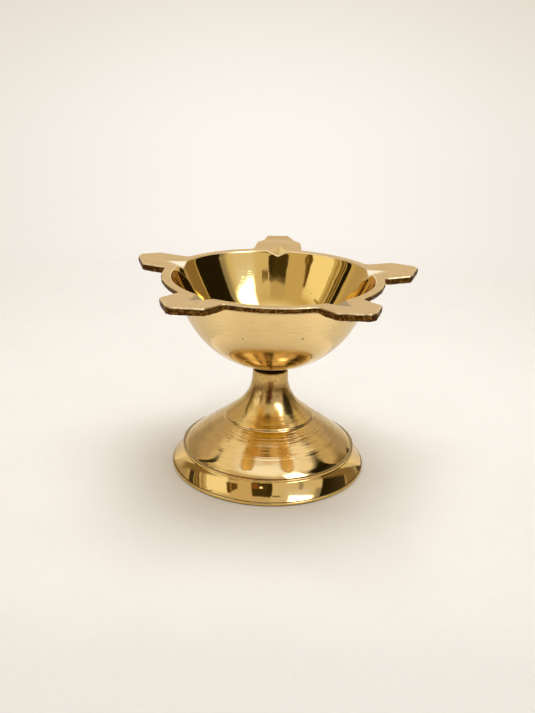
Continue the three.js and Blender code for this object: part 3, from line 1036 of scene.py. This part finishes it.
@dataclass
class Foot:
    """The foot casting: lip, skirt, bead, shoulder, step and trumpet, hollow underneath."""

    foot_radius: float = 36.0
    lip_height: float = 1.1
    lip_edge: float = 0.3
    skirt_radius: float = 31.9
    skirt_height: float = 7.1
    skirt_hollow: float = 0.35
    bead_radius: float = 0.45
    shoulder_crown: float = 0.4
    shoulder_swell: float = 4.2
    shoulder_reach: float = 0.11
    step_radius: float = 16.4
    step_height: float = 19.4
    neck_radius: float = 6.5
    neck_top: float = 37.2
    neck_straight: float = 1.8
    neck_round: float = 0.25
    trumpet_power: float = 2.3
    bore_radius: float = 4.3
    ceiling: float = 25.0
    ring_radius: float = 33.6
    hollow: tuple[Pair, ...] = (
        (7.62, 24.86), (8.18, 23.98), (9.0, 22.9), (10.08, 21.81), (12.29, 19.79), (14.8, 17.33),
        (18.6, 14.75), (22.68, 12.12), (26.6, 8.95), (30.28, 5.61))
    columns: int = 384

    def trumpet(self, height: Array) -> Array:
        """The trumpet's radius: neck + (step - neck) x left ^ power.

        Args:
            height: Heights on the trumpet.

        Returns:
            The radius at each, where left is the share of the way that is still up from it.
        """
        span = self.neck_top - self.neck_straight - self.step_height
        left = np.clip(1.0 - (height - self.step_height) / span, 0.0, None)
        return self.neck_radius + (self.step_radius - self.neck_radius) * left ** self.trumpet_power

    def shoulder(self, line: Section) -> None:
        """Adds the shoulder: a bow that is steeper at its foot.

        At a share t of the way up it stands out from its chord by 4 crown t (1 - t), and by
        swell t (1 - t) exp(-t / reach) more.

        Args:
            line: The section line that it goes on.
        """
        start = line.points[-1][-1]
        end = np.array([self.step_radius - 0.18, self.step_height - 0.42])
        share = np.linspace(0.0, 1.0, 49)[1:, None] ** 1.3
        chord = end - start
        out = unit(np.array([chord[1], -chord[0]]))
        rise = 4.0 * self.shoulder_crown * share * (1.0 - share)
        swell = self.shoulder_swell * share * np.exp(-share / self.shoulder_reach) * (1.0 - share)
        line.put(start + chord * share + out * (rise + swell))

    def section(self) -> Section:
        """Draws the closed section line.

        Returns:
            The line from the floor up the outside and down the bore and the hollow.
        """
        foot, lip, lip_edge = self.foot_radius - self.lip_edge, self.lip_height, self.lip_edge
        skirt, foot_of_bead, bead = self.skirt_radius, self.skirt_height, self.bead_radius
        middle = skirt - bead / 2
        step, ledge, neck, top = self.step_radius, self.step_height, self.neck_radius, self.neck_top
        line = Section()
        line.put([foot, 0.0])
        line.arc((foot, lip_edge), lip_edge, -70.0, 0.0, 4)
        line.arc((foot, lip - lip_edge), lip_edge, 0.0, 60.0, 4)
        line.put([foot - 0.08, lip + 0.02])
        line.bow((skirt + 0.14, foot_of_bead - 0.2), self.skirt_hollow, 22)
        line.put([skirt - 0.12, foot_of_bead - 0.06])
        line.arc((middle, foot_of_bead + bead), bead, -58.0, 48.0, 8)
        line.line((middle - 0.3, foot_of_bead + 1.98 * bead), 2)
        line.put([[skirt - bead - 0.32, foot_of_bead + 1.66 * bead],
                  [skirt - bead - 0.46, foot_of_bead + 2 * bead]])
        self.shoulder(line)
        line.put([[step - 0.2, ledge - 0.3], [step - 0.02, ledge - 0.14]])
        height = ledge + (top - self.neck_round - ledge) * np.linspace(0.0, 1.0, 47)
        line.put(np.c_[self.trumpet(height), height])
        line.put([[neck - 0.07, top - 0.07], [neck - self.neck_round, top]])
        line.line((self.bore_radius + self.neck_round, top), 2)
        line.mark("bore")
        line.put([self.bore_radius, top - self.neck_round])
        line.line((self.bore_radius, self.ceiling), 8).line((7.3, self.ceiling), 2)
        line.put(self.hollow).line((self.ring_radius - 0.1, 0.35), 6)
        return line.put([self.ring_radius + 0.2, 0.0])

    def build(self) -> bpy.types.Object:
        """Builds the foot's closed mesh, a ring of section rows turned about the axis.

        Returns:
            The foot piece.
        """
        line = self.section()
        radius, height = np.split(line.array(), 2, axis=1)
        grid = ringed(radius, np.arange(self.columns) * TURN / self.columns, height)
        hollow = (np.arange(len(grid)) >= line.marks["bore"]).astype(float)
        return closed_piece("foot_casting", grid, [], {Zone.HOLLOW: hollow})


@dataclass
class Stud:
    """The threaded stud between the neck and the boss under the bowl."""

    radius: float = 4.0
    depth: float = 0.65
    pitch: float = 1.25
    bottom: float = 27.2
    thread_top: float = 37.1
    top: float = 39.5
    chamfer: float = 0.6
    columns: int = 96

    def build(self) -> bpy.types.Object:
        """Builds the stud as one height field on a cylinder.

        The radius is the outside less depth x a rounded zigzag of (height / pitch - angle / turn),
        kept under the end chamfers, and plain where the stud sits in the boss.

        Returns:
            The stud piece.
        """
        height = np.linspace(self.bottom, self.top, 150)[:, None]
        angle = np.arange(self.columns)[None] * TURN / self.columns
        phase = (height - self.bottom) / self.pitch - angle / TURN
        zigzag = 2.0 * np.abs(phase - np.floor(phase + 0.5))
        ridge = smooth((zigzag - 0.1) / 0.8)
        plain = smooth((height - self.thread_top + 0.6) / 0.6)
        radius = self.radius - self.depth * (1.0 - ridge) * (1.0 - plain)
        lower = self.radius - self.chamfer + (height - self.bottom)
        upper = self.radius - 0.3 + (self.top - height)
        radius = np.minimum(radius, np.minimum(lower, upper))
        grid = ringed(radius, angle, height)
        return closed_piece("stud_thread", grid, [self.bottom, self.top], {})


# Finishes


@dataclass(frozen=True)
class Tones:
    """The lamp's metal colours in linear light."""

    polished: tuple = (0.895, 0.615, 0.165, 1.0)
    # Painted shade: the darker, deeper gold of the bowl's underside
    underside_shade: tuple = (0.66, 0.455, 0.035, 1.0)
    satin: tuple = (0.84, 0.60, 0.29, 1.0)
    shell: tuple = (0.99, 0.745, 0.375, 1.0)
    filed: tuple = (0.722, 0.485, 0.148, 1.0)
    # Bright filed metal in the wick grooves, and a painted highlight along the plate's outer arris
    filed_bright_and_highlight: tuple = (0.97, 0.82, 0.47, 1.0)
    # Painted shade on the rearward facets of the two front wick grooves
    groove_shade: tuple = (0.27, 0.18, 0.045, 1.0)
    tarnish: tuple = (0.36, 0.20, 0.055, 1.0)
    reddish: tuple = (0.30, 0.10, 0.028, 1.0)
    # Near black: dirt in pits, and painted shade in creases, gaps and under the foot
    grime_and_shade: tuple = (0.020, 0.009, 0.003, 1.0)
    cast: tuple = (0.075, 0.026, 0.003, 1.0)
    cast_worn: tuple = (0.42, 0.21, 0.045, 1.0)
    hollow: tuple = (0.42, 0.28, 0.10, 1.0)


@dataclass(frozen=True)
class BowlFinish:
    """Mirror polish inside, filed satin on the plate, rough cast edge, fine satin outside."""

    tones: Tones = Tones()

    def cast_colour(self, s: Surface, depth: Value) -> tuple[Any, Value]:
        """The cast edge: dark brown, worn lighter on its high spots, black along both arrises.

        Args:
            s: The bowl's surface.
            depth: How far down the edge a point lies, from 0 at the plate to 1 below.

        Returns:
            Its colour, and how worn it is.
        """
        worn = s.noise(0.8, 5.0, rough=0.75).step(0.44, 0.64)
        brown = s.colours(worn * 0.75, self.tones.cast, self.tones.cast_worn)
        ragged = s.noise(0.9, 4.0, rough=0.7).step(0.36, 0.5)
        arris = depth.band(0.08, 0.30, 0.06) + depth.band(0.86, 0.98, 0.05) * 0.7
        return s.colours(arris * ragged * 0.95, brown, self.tones.grime_and_shade), worn

    def material(self) -> bpy.types.Material:
        """Makes the bowl's material.

        Returns:
            The material.
        """
        s = Surface("bowl_brass_finish")
        tones = self.tones
        inside, plate, edge, groove, shaded, depth = (
            s.attribute(zone.value)
            for zone in (Zone.INSIDE, Zone.PLATE, Zone.EDGE, Zone.GROOVE, Zone.SHADED, Zone.DEPTH))
        outside = (1.0 - inside) * (1.0 - plate) * (1.0 - edge)
        filed = plate * (1.0 - groove)
        rings = s.noise(1.0, 3.0, s.stretched(0.03, (s.z + s.radius) * 2.2))
        hairs = s.noise(1.0, 2.0, s.stretched(0.10, s.z * 5.5)).step(0.60, 0.70)
        cloud = s.noise(0.06, 3.0)
        mottle = s.noise(0.22, 4.0, rough=0.6)
        speck = s.noise(1.7, 4.0, rough=0.65)
        pits = s.pits(0.30, 0.16, 0.20) * outside + s.pits(0.4, 0.08, 0.08) * inside
        brushed = s.noise(1.0, 3.0, s.brushed(0.5, 3.4), rough=0.6)

        below = outside * (0.82 + mottle * 0.2) * s.z.step(43.5, 46.5)
        dark_spots = s.noise(0.45, 5.0, rough=0.7).step(0.54, 0.68)
        smudges = brushed.step(0.50, 0.74) * 0.22 + dark_spots * 0.34
        sunk = groove * (0.85 - s.y.step(30.0, 38.0) * 0.55)
        stains = hairs * mottle.step(0.40, 0.58) * s.z.step(47.0, 62.0)
        smoke = s.noise(0.30, 3.0, s.stretched(0.5, s.z * 1.6)).step(0.46, 0.62)
        smoke = smoke * s.z.band(43.5, 50.0, 2.0)
        under_rim = s.z.band(69.4, 70.3, 0.3) * speck.step(0.25, 0.55)
        cast, worn = self.cast_colour(s, depth)
        colour = s.painted(
            tones.polished,
            # Painted shade: the outside under the shell, below about 45 mm, is a darker, deeper
            # gold
            (outside, tones.underside_shade),
            (below, tones.shell),
            (filed, s.colours(s.y.step(44.0, 52.0) * 0.6, tones.filed, tones.satin)),
            (filed * smudges, tones.tarnish),
            # Painted shade: the rearward facet of each front wick groove, the shaded zone, takes a
            # dark tone
            (sunk, s.colours(shaded, tones.filed_bright_and_highlight, tones.groove_shade)),
            # Painted highlight: a bright line along the plate's outer arris
            (plate * depth.step(-0.06, -0.01) * 0.6, tones.filed_bright_and_highlight),
            (outside * (stains * 0.45 + smoke * 0.25), tones.tarnish),
            (outside * under_rim * 0.6, tones.tarnish),
            (pits * 0.85, tones.grime_and_shade),
            # Painted shade: the boss under the bowl, in the gap over the neck, goes near black
            (outside * s.z.step(38.75, 38.45), tones.grime_and_shade),
            (edge, cast),
        )

        polish = 0.03 + rings * 0.04 + speck.step(0.55, 0.8) * 0.04
        shell = 0.035 + (rings * 0.07 + mottle * 0.06 + 0.03) * s.z.step(43.0, 54.0)
        rough = s.eased(
            polish, (1.0 - inside, shell), (plate, 0.22 + brushed * 0.2), (groove, 0.13),
            (edge, 0.5 - worn * 0.16))

        columns = s.x.band(-12.2, -10.8, 0.7) + s.x.band(-9.8, -8.4, 0.7)
        chatter = columns * s.y.step(18.0, 24.0) * s.z.band(61.0, 71.0, 1.5) * inside
        beats = s.noise(1.0, 1.0, s.stretched(0.16, s.z * 1.7))
        normal = s.bumps(
            (rings * (outside * 0.5 + inside * 0.12), 0.006), (beats * chatter, 0.02),
            (cloud, 0.12), (1.0 - pits, 0.03), (brushed * filed, 0.03),
            (s.noise(1.1, 6.0, rough=0.75) * edge, 0.5))
        return s.finish(colour, rough, normal)


@dataclass(frozen=True)
class FootFinish:
    """Mirror polished skirt, turned shoulder, duller pitted neck and a cast hollow."""

    tones: Tones = Tones()

    def drip(self, s: Surface) -> Value:
        """The stain down the front of the neck: a streak that narrows to a drop at its end.

        Args:
            s: The foot's surface.

        Returns:
            The stain's mask.
        """
        wander = (s.noise(0.5, 2.0) - 0.5) * 0.8
        width = 0.75 + s.z.step(31.0, 34.5) * 0.6 + s.z.band(28.2, 29.4, 0.5) * 0.3
        across = (s.x - 0.2 + wander).size() / width
        return across.step(1.2, 0.6) * s.z.band(28.0, 34.4, 0.6) * s.y.step(0.0, -1.0)

    def material(self) -> bpy.types.Material:
        """Makes the foot's material.

        Returns:
            The material.
        """
        s = Surface("foot_brass_finish")
        tones = self.tones
        hollow = s.attribute(Zone.HOLLOW.value)
        neck = s.z.step(23.5, 32.5)
        skirt = s.z.step(7.6, 6.9)
        bright_edge = s.z.step(11.5, 9.0) * (1.0 - skirt)
        trumpet = s.z.step(19.3, 19.8)
        shoulder = (1.0 - skirt) * (1.0 - trumpet)
        hairs = s.noise(1.0, 4.0, s.stretched(0.12, (s.z + s.radius * 0.5) * 4.5), rough=0.7)
        rings = s.noise(1.0, 3.0, s.stretched(0.05, (s.z + s.radius) * 1.6))
        cloud = s.noise(0.07, 3.0)
        mottle = s.noise(0.25, 4.0, rough=0.6)
        speck = s.noise(1.7, 4.0, rough=0.65)
        pits = s.pits(1.1, 0.17, 0.16) * (neck + 0.12).least(1.0)
        fine = (s.z.band(15.2, 19.1, 0.5) + s.z.band(20.2, 22.6, 0.6) * 0.5
                + s.z.band(12.6, 13.6, 0.4) * 0.6)

        satin = 0.10 + mottle * 0.3 + neck * 0.2 + shoulder * hairs * 0.35
        dull = mottle.step(0.44, 0.56) * s.z.band(26.5, 32.5, 1.2)
        worn = (shoulder + trumpet * 0.6) * hairs.step(0.5, 0.7) * 0.22
        # Painted shade: dark lines in the creases above the bead, at the step and above the lip
        crease_shade = (s.z.band(7.88, 8.0, 0.06) * 0.8 + s.z.band(18.98, 19.16, 0.07)
                   + s.z.band(1.1, 1.34, 0.08))
        # Painted shade: the neck's top face in the gap under the bowl
        gap_shade = s.z.step(36.9, 37.08) * s.radius.step(6.45, 6.25)
        colour = s.painted(
            tones.polished,
            (satin, tones.satin),
            (neck * (0.25 + speck.step(0.42, 0.66) * 0.5), tones.tarnish),
            (worn + dull * 0.5, tones.tarnish),
            (pits * 0.8, tones.grime_and_shade),
            (self.drip(s) * 0.85, tones.reddish),
            (crease_shade.held() * 0.85, tones.grime_and_shade),
            # Painted shade in that gap, and a painted contact shadow along the foot's bottom edge
            (gap_shade.most(s.z.step(0.40, 0.22)), tones.grime_and_shade),
            (hollow, tones.hollow),
        )

        rough = s.eased(
            0.075 + rings * 0.05 + mottle * 0.04 - bright_edge * 0.055 + trumpet * 0.045,
            (skirt, 0.03 + speck * 0.04),
            (neck, 0.10 + s.z.step(30.5, 32.5) * 0.10 + speck * 0.12),
            (hollow, 0.55))

        fine_lines = s.noise(1.0, 1.0, s.stretched(0.012, s.z * 3.6))
        lathe = s.noise(1.0, 2.0, s.stretched(0.02, s.z * 8.0), rough=0.6)
        normal = s.bumps(
            (fine_lines * fine, 0.12),
            (lathe * (trumpet * 0.9 + shoulder * (1.0 - bright_edge) * 0.8), 0.009),
            (rings * (1.0 - skirt), 0.008), (hairs * (shoulder + skirt * 0.4), 0.006),
            (cloud, 0.12), (1.0 - pits, 0.04), (speck * neck, 0.04),
            (s.noise(0.9, 4.0, rough=0.6) * hollow, 0.25))
        return s.finish(colour, rough, normal)


@dataclass(frozen=True)
class StudFinish:
    """A plain cut thread, a little tarnished in its roots."""

    tones: Tones = Tones()

    def material(self) -> bpy.types.Material:
        """Makes the stud's material.

        Returns:
            The material.
        """
        s = Surface("stud_brass_finish")
        grime_and_shade = s.radius.step(3.85, 3.4) * 0.75 + s.noise(0.9, 3.0).step(0.5, 0.8) * 0.3
        colour = s.colours(grime_and_shade.held(), self.tones.satin, self.tones.tarnish)
        rough = 0.28 + s.noise(2.0, 3.0) * 0.2
        normal = s.bumps((s.noise(1.0, 2.0, s.stretched(0.05, s.z * 6.0)), 0.01))
        return s.finish(colour, rough, normal)


# The studio


@dataclass(frozen=True)
class Card:
    """A softbox, flag or wall of the studio, or a sheet of painted shade, that only reflections
    show.

    Bearings and elevations are in degrees as seen from the lamp: bearing 0 is the camera's side
    and positive ones lie to its right. The soft widths are those of the left, right, lower and
    upper edge. The distance is in metres, share is how much the card hides of what lies behind
    it, and taper is how far its right side leans in over the upper half, per degree of height.
    """

    name: str
    bearings: Pair
    elevations: Pair
    tone: tuple[float, float, float]
    soft: tuple[float, float, float, float]
    distance: float = 4.0
    share: float = 1.0
    taper: float = 0.0


@dataclass
class Studio:
    """Camera, pale floor, soft light and the cards around the lamp."""

    aim_height: float = 0.045
    pale: tuple = (0.975, 0.928, 0.858, 1.0)
    side_wall: tuple = (0.60, 0.525, 0.43, 1.0)
    wall: tuple = (0.60, 0.51, 0.39, 1.0)
    ceiling: tuple = (0.98, 0.92, 0.82, 1.0)
    paper: tuple = (0.866, 0.878, 0.900, 1.0)
    cards: tuple[Card, ...] = (
        Card("backdrop", (146, 214), (2, 42), (0.88, 0.83, 0.80), (14, 14, 4, 14)),
        Card("back_left_wall", (-154, -110), (2, 54), (0.50, 0.42, 0.38), (8, 6, 8, 20)),
        Card("back_right_wall", (126, 158), (2, 54), (0.53, 0.45, 0.41), (8, 8, 8, 20)),
        Card("right_side", (106, 134), (-16, 34), (0.26, 0.19, 0.12), (1, 10, 6, 12)),
        Card("ceiling", (-182, 182), (46, 89.8), (1.10, 1.18, 1.70), (0.5, 0.5, 28, 0.1)),
        Card("left_upper", (-128, -62), (38, 72), (0.88, 0.82, 0.82), (16, 16, 12, 16)),
        Card("right_upper", (66, 132), (44, 74), (0.98, 0.96, 1.10), (16, 16, 12, 16)),
        Card("left_wall", (-50, -18), (-16, 56), (0.62, 0.525, 0.465), (1, 4, 6, 16)),
        Card("left_window", (-81.5, -49.5), (-12, 46), (1.03, 1.00, 1.08), (1.5, 0.8, 12, 12)),
        Card("window_post", (-52.3, -36.4), (15, 38.6), (0.13, 0.075, 0.018), (0.8, 1.2, 3, 1.2),
             taper=1.05),
        Card("post_line", (-46.3, -44.2), (15, 33.5), (0.50, 0.38, 0.20), (1, 1, 5, 3)),
        Card("frame_top", (-88, -73), (35.2, 38.4), (0.34, 0.24, 0.13), (0.6, 1, 0.6, 0.6)),
        Card("frame_near", (-88.5, -82.5), (-8, 36), (0.46, 0.37, 0.28), (0.6, 0.4, 6, 0.8)),
        Card("frame_light", (-84.2, -83.2), (-8, 37), (1, 0.92, 0.85), (0.4, 0.4, 6, 0.8)),
        Card("frame_gap", (-88, -86.8), (-8, 36), (0.10, 0.065, 0.03), (0.4, 0.4, 6, 6)),
        Card("frame_edge", (-99.8, -91.5), (-8, 36), (0.13, 0.085, 0.035), (1.2, 0.6, 6, 6)),
        Card("frame_line", (-96.4, -94.4), (-8, 36), (0.50, 0.38, 0.22), (0.5, 0.5, 6, 6)),
        Card("flag_line", (-99.9, -98.9), (-8, 38), (0.85, 0.70, 0.50), (0.4, 0.4, 6, 2)),
        Card("left_flag", (-107.8, -99.6), (-8, 50), (0.014, 0.010, 0.005), (1, 0.6, 6, 3)),
        Card("front_wall", (2, 74), (-12, 58), (0.70, 0.65, 0.67), (1, 2, 8, 16)),
        Card("side_wall", (60, 75), (22, 50), (0.30, 0.29, 0.34), (9, 1, 6, 14)),
        Card("middle_wall", (-22, 6), (30, 58), (0.55, 0.475, 0.455), (4, 4, 6, 16)),
        Card("camera_side", (-20.5, 6), (-18, 42.6), (0.058, 0.042, 0.016), (1.6, 1.2, 6, 2)),
        Card("rig_panel", (-19, -11), (12, 25), (0.24, 0.10, 0.03), (1.5, 1.5, 2, 2)),
        Card("camera_rig", (-1, 7), (-24, 39.5), (0.04, 0.028, 0.014), (3, 0.8, 5, 1.2)),
        Card("rig_glint", (-10, -5), (18.5, 23.5), (1.9, 1.6, 1.5), (1.5, 1.5, 1.5, 1.5)),
        Card("camera_arm", (7, 18), (37.2, 41.8), (0.22, 0.17, 0.12), (0.8, 1.6, 1, 0.6)),
        Card("key_glow", (20, 62), (16, 68), (0.76, 0.75, 0.98), (12, 10, 16, 10)),
        Card("key_halo", (27, 60), (31, 50), (0.86, 0.93, 1.6), (8, 9, 8, 8)),
        Card("key_box", (28, 66), (37.2, 65), (6.5, 6.8, 9.5), (7, 9, 3.2, 10)),
        Card("key_stand", (39, 47), (-6, 27), (0.38, 0.36, 0.42), (2, 2, 6, 3)),
        Card("right_flag", (71.5, 107.6), (-10, 53), (0.016, 0.012, 0.006), (1.6, 0.8, 6, 5)),
        Card("right_edge", (107.2, 109.4), (-10, 30), (0.62, 0.50, 0.38), (0.6, 0.8, 6, 10)),
        Card("right_post", (131, 142), (-6, 10.5), (0.03, 0.02, 0.01), (2, 2, 3, 2)),
        Card("dark_front", (-122, 122), (-18, 10), (0.24, 0.17, 0.09), (12, 12, 6, 6), share=0.9),
        Card("table_edge", (-122, 122), (-14, -3), (0.24, 0.17, 0.09), (12, 12, 1, 4), 0.2, 0.9),
        # Painted shade: dark see-through sheets close round the lamp's sides and back, seen only in
        # reflections, that darken the floor and backdrop they show
        Card("left_floor_shade", (-182, -50), (-36.4, 4), (0.2, 0.17, 0.14), (30, 56, 1, 14), 0.075, 0.37),
        Card("right_floor_shade", (50, 182), (-36.2, 4), (0.2, 0.17, 0.14), (56, 30, 1, 14), 0.0755, 0.35),
    )
    camera_angles: tuple[float, float, float] = (20.627, 0.155, 1.758)
    camera_spot: tuple[float, float, float] = (-0.00202, -0.29670, 0.15331)
    focal_length: float = 43.714
    sensor_width: float = 36.0
    clip: Pair = (0.01, 50.0)
    floor_rings: tuple[float, ...] = (0.05, 0.2, 0.4, 0.6, 0.8)
    floor_columns: int = 96
    card_grid: Pair = (0.7, 1.4)
    card_gap: float = 0.01

    def place(self, bearing: float, elevation: float, distance: float) -> Vector:
        """A point seen from the lamp.

        Args:
            bearing: Its direction round the lamp in degrees.
            elevation: Its direction above the horizon in degrees.
            distance: How far off it is, in metres.

        Returns:
            The point.
        """
        turn, rise = math.radians(bearing), math.radians(elevation)
        flat = distance * math.cos(rise)
        x, y = AXIS[0] + flat * math.sin(turn), AXIS[1] - flat * math.cos(turn)
        return Vector((x, y, self.aim_height + distance * math.sin(rise)))

    def facing(self, place: Vector) -> Matrix:
        """The transform of something at a place whose -Z looks at the lamp.

        Args:
            place: Where it stands.

        Returns:
            Its world matrix.
        """
        aim = Vector((AXIS[0], AXIS[1], self.aim_height))
        turn = (aim - place).to_track_quat("-Z", "Y").to_matrix().to_4x4()
        return Matrix.Translation(place) @ turn

    def camera(self) -> None:
        """The camera, from the rings of the lamp as the photograph shows them."""
        pitch, yaw, roll = (math.radians(a) for a in self.camera_angles)
        ahead = Vector((
            math.sin(yaw) * math.cos(pitch), math.cos(yaw) * math.cos(pitch), -math.sin(pitch)))
        right = Vector((math.cos(yaw), -math.sin(yaw), 0.0))
        up = right.cross(ahead)
        tilted_right = math.cos(roll) * right + math.sin(roll) * up
        tilted_up = math.cos(roll) * up - math.sin(roll) * right
        turn = Matrix((tilted_right, tilted_up, -ahead)).transposed().to_4x4()
        spot = Vector((*AXIS, 0.0)) + Vector(self.camera_spot)
        lens = bpy.data.cameras.new("camera")
        lens.sensor_width = self.sensor_width
        lens.sensor_fit = "AUTO"
        lens.lens = self.focal_length
        lens.clip_start, lens.clip_end = self.clip
        camera = linked("camera", lens)
        camera.matrix_world = Matrix.Translation(spot) @ turn
        bpy.context.scene.camera = camera

    def floor(self) -> None:
        """A pale paper floor that thins out to the backdrop's own tone far from the lamp. Its paper
        is painted darker towards the front and the front sides, as shade.
        """
        rings, columns = np.array(self.floor_rings)[:, None], self.floor_columns
        corners = ringed(rings, np.arange(columns) * TURN / columns, 0.0)
        mesh = bpy.data.meshes.new("floor")
        faces = grid_faces(len(rings), columns, False) + [list(range(columns))]
        mesh.from_pydata(corners.reshape(-1, 3).tolist(), [], faces)
        material = bpy.data.materials.new("floor_paper")
        graph = Graph(material)
        place = graph.add("TexCoord", {}).outputs["Object"]
        x, depth, _ = graph.parts(place)
        side = x.size()
        length = graph.number("VectorMath", {0: place}, "Value", operation="LENGTH")
        grain, mottle = (
            graph.number("TexNoise", {"Vector": place, "Scale": scale, "Detail": fine})
            for scale, fine in ((240.0, 5.0), (30.0, 4.0)))
        bump = graph.add("Bump", {"Height": grain, "Distance": 0.0003})
        # Painted shade: the paper darkens towards the front and the front sides, as light falling
        # off
        rim = side.step(0.06, 0.14) * depth.step(0.03, -0.06) * 0.5 + depth.step(-0.085, -0.13)
        shade = mottle.step(0.3, 0.7) * 0.25 + rim
        paper = graph.colours(shade, self.paper, tuple(0.93 * v for v in self.paper[:3]) + (1.0,))
        near = graph.add("BsdfDiffuse", {"Color": paper, "Normal": bump})
        clear = graph.add("BsdfTransparent", {})
        graph.end_mixed(length.step(0.10, 0.40), near, clear)
        mesh.materials.append(material)
        linked("floor", mesh)

    def world(self) -> None:
        """A pale backdrop up to the horizon, dimmer walls above it and a bright ceiling."""
        world = bpy.data.worlds.new("studio")
        bpy.context.scene.world = world
        graph = Graph(world)
        place = graph.add("TexCoord", {}).outputs["Generated"]
        x, _, rise = graph.parts(place)
        pale = graph.colours(x.size().step(0.02, 0.42) * 0.36, self.pale, self.side_wall)
        tone = graph.painted(
            pale, (rise.step(-0.13, 0.30), self.wall), (rise.step(0.855, 0.93), self.ceiling))
        sky = graph.add("Background", {"Color": tone, "Strength": 1.0})
        graph.add("OutputWorld", {"Surface": sky})

    def lamp(self, name: str, bearing: float, elevation: float, size: Pair,
             power: float, distance: float) -> None:
        """One soft rectangular lamp that looks at the oil lamp and that no reflection shows.

        Args:
            name: Its name.
            bearing: Its direction round the oil lamp in degrees.
            elevation: Its direction above the horizon in degrees.
            size: Its width and height in metres.
            power: Its power in watts.
            distance: How far off it is, in metres.
        """
        light = bpy.data.lights.new(name, "AREA")
        light.shape = "RECTANGLE"
        light.size, light.size_y = size
        light.energy = power
        item = linked(name, light)
        item.matrix_world = self.facing(self.place(bearing, elevation, distance))
        item.visible_glossy = False

    def card(self, card: Card, nearer: float) -> None:
        """One card as a patch of a sphere about the lamp.

        The corner at bearing b and elevation e lies at (cos e sin b, -cos e cos b, sin e) times
        the distance. Each stores how much of the card is left there: the product of a smooth rise
        from each of the four edges over its soft width.

        Args:
            card: The card.
            nearer: How much nearer it stands than its own distance, so that no two coincide.
        """
        (left, right), (low, high) = card.bearings, card.elevations
        bearing, elevation = np.meshgrid(
            np.linspace(left, right, int((right - left) / self.card_grid[0]) + 2),
            np.linspace(low, high, int((high - low) / self.card_grid[1]) + 2))
        lean = card.taper * np.clip(elevation - 0.5 * (low + high), 0.0, None)
        inward = (bearing - left, right - lean - bearing, elevation - low, high - elevation)
        cover = np.prod([smooth(way / soft) for way, soft in zip(inward, card.soft)], axis=0)
        cover = (cover * card.share).astype(np.float32)
        b, e = np.radians(bearing), np.radians(elevation)
        way = np.stack([np.cos(e) * np.sin(b), -np.cos(e) * np.cos(b), np.sin(e)], -1)
        corners = way * (card.distance - nearer) + np.array([*AXIS, self.aim_height])
        rows, columns = cover.shape
        first = (np.arange(rows - 1)[:, None] * columns + np.arange(columns - 1)).ravel()[:, None]
        mesh = bpy.data.meshes.new(card.name)
        faces = first + np.array([0, 1, columns + 1, columns])
        mesh.from_pydata(corners.reshape(-1, 3).tolist(), [], faces.tolist())
        mesh.attributes.new("cover", "FLOAT", "POINT").data.foreach_set("value", cover.ravel())
        material = bpy.data.materials.new(card.name)
        graph = Graph(material)
        clear = graph.add("BsdfTransparent", {})
        glow = graph.add("Emission", {"Color": (*card.tone, 1.0), "Strength": 1.0})
        graph.end_mixed(graph.attribute("cover"), clear, glow)
        mesh.materials.append(material)
        sheet = linked(card.name, mesh)
        sheet.visible_camera = sheet.visible_diffuse = sheet.visible_shadow = False

    def build(self) -> None:
        """Sets up the whole studio, each card a little nearer than the one before."""
        self.camera()
        self.floor()
        self.world()
        self.lamp("overhead", 155.0, 82.0, (0.34, 0.34), 1.56, 0.5)
        for number, card in enumerate(self.cards):
            self.card(card, self.card_gap * number if card.distance > 1.0 else 0.0)
        bpy.context.scene.view_settings.view_transform = "Standard"


def dress(piece: bpy.types.Object, body: str, node: str,
          finish: Callable[[], bpy.types.Material]) -> None:
    """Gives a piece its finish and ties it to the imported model.

    Args:
        piece: The new piece.
        body: The body that it rides on.
        node: The CAD node that it stands for.
        finish: Makes the piece's material.
    """
    piece.data.materials.append(finish())
    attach(piece, body)
    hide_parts(node)
    report(piece)


def main() -> None:
    """Builds the lamp's pieces and the studio."""
    logging.basicConfig(level=logging.INFO, format="%(name)s: %(message)s")
    dress(Foot().build(), "foot", "foot", FootFinish().material)
    dress(Stud().build(), "stud", "stud", StudFinish().material)
    dress(Bowl().build(), "bowl", "bowl", BowlFinish().material)
    Studio().build()


if __name__ == "__main__":
    main()
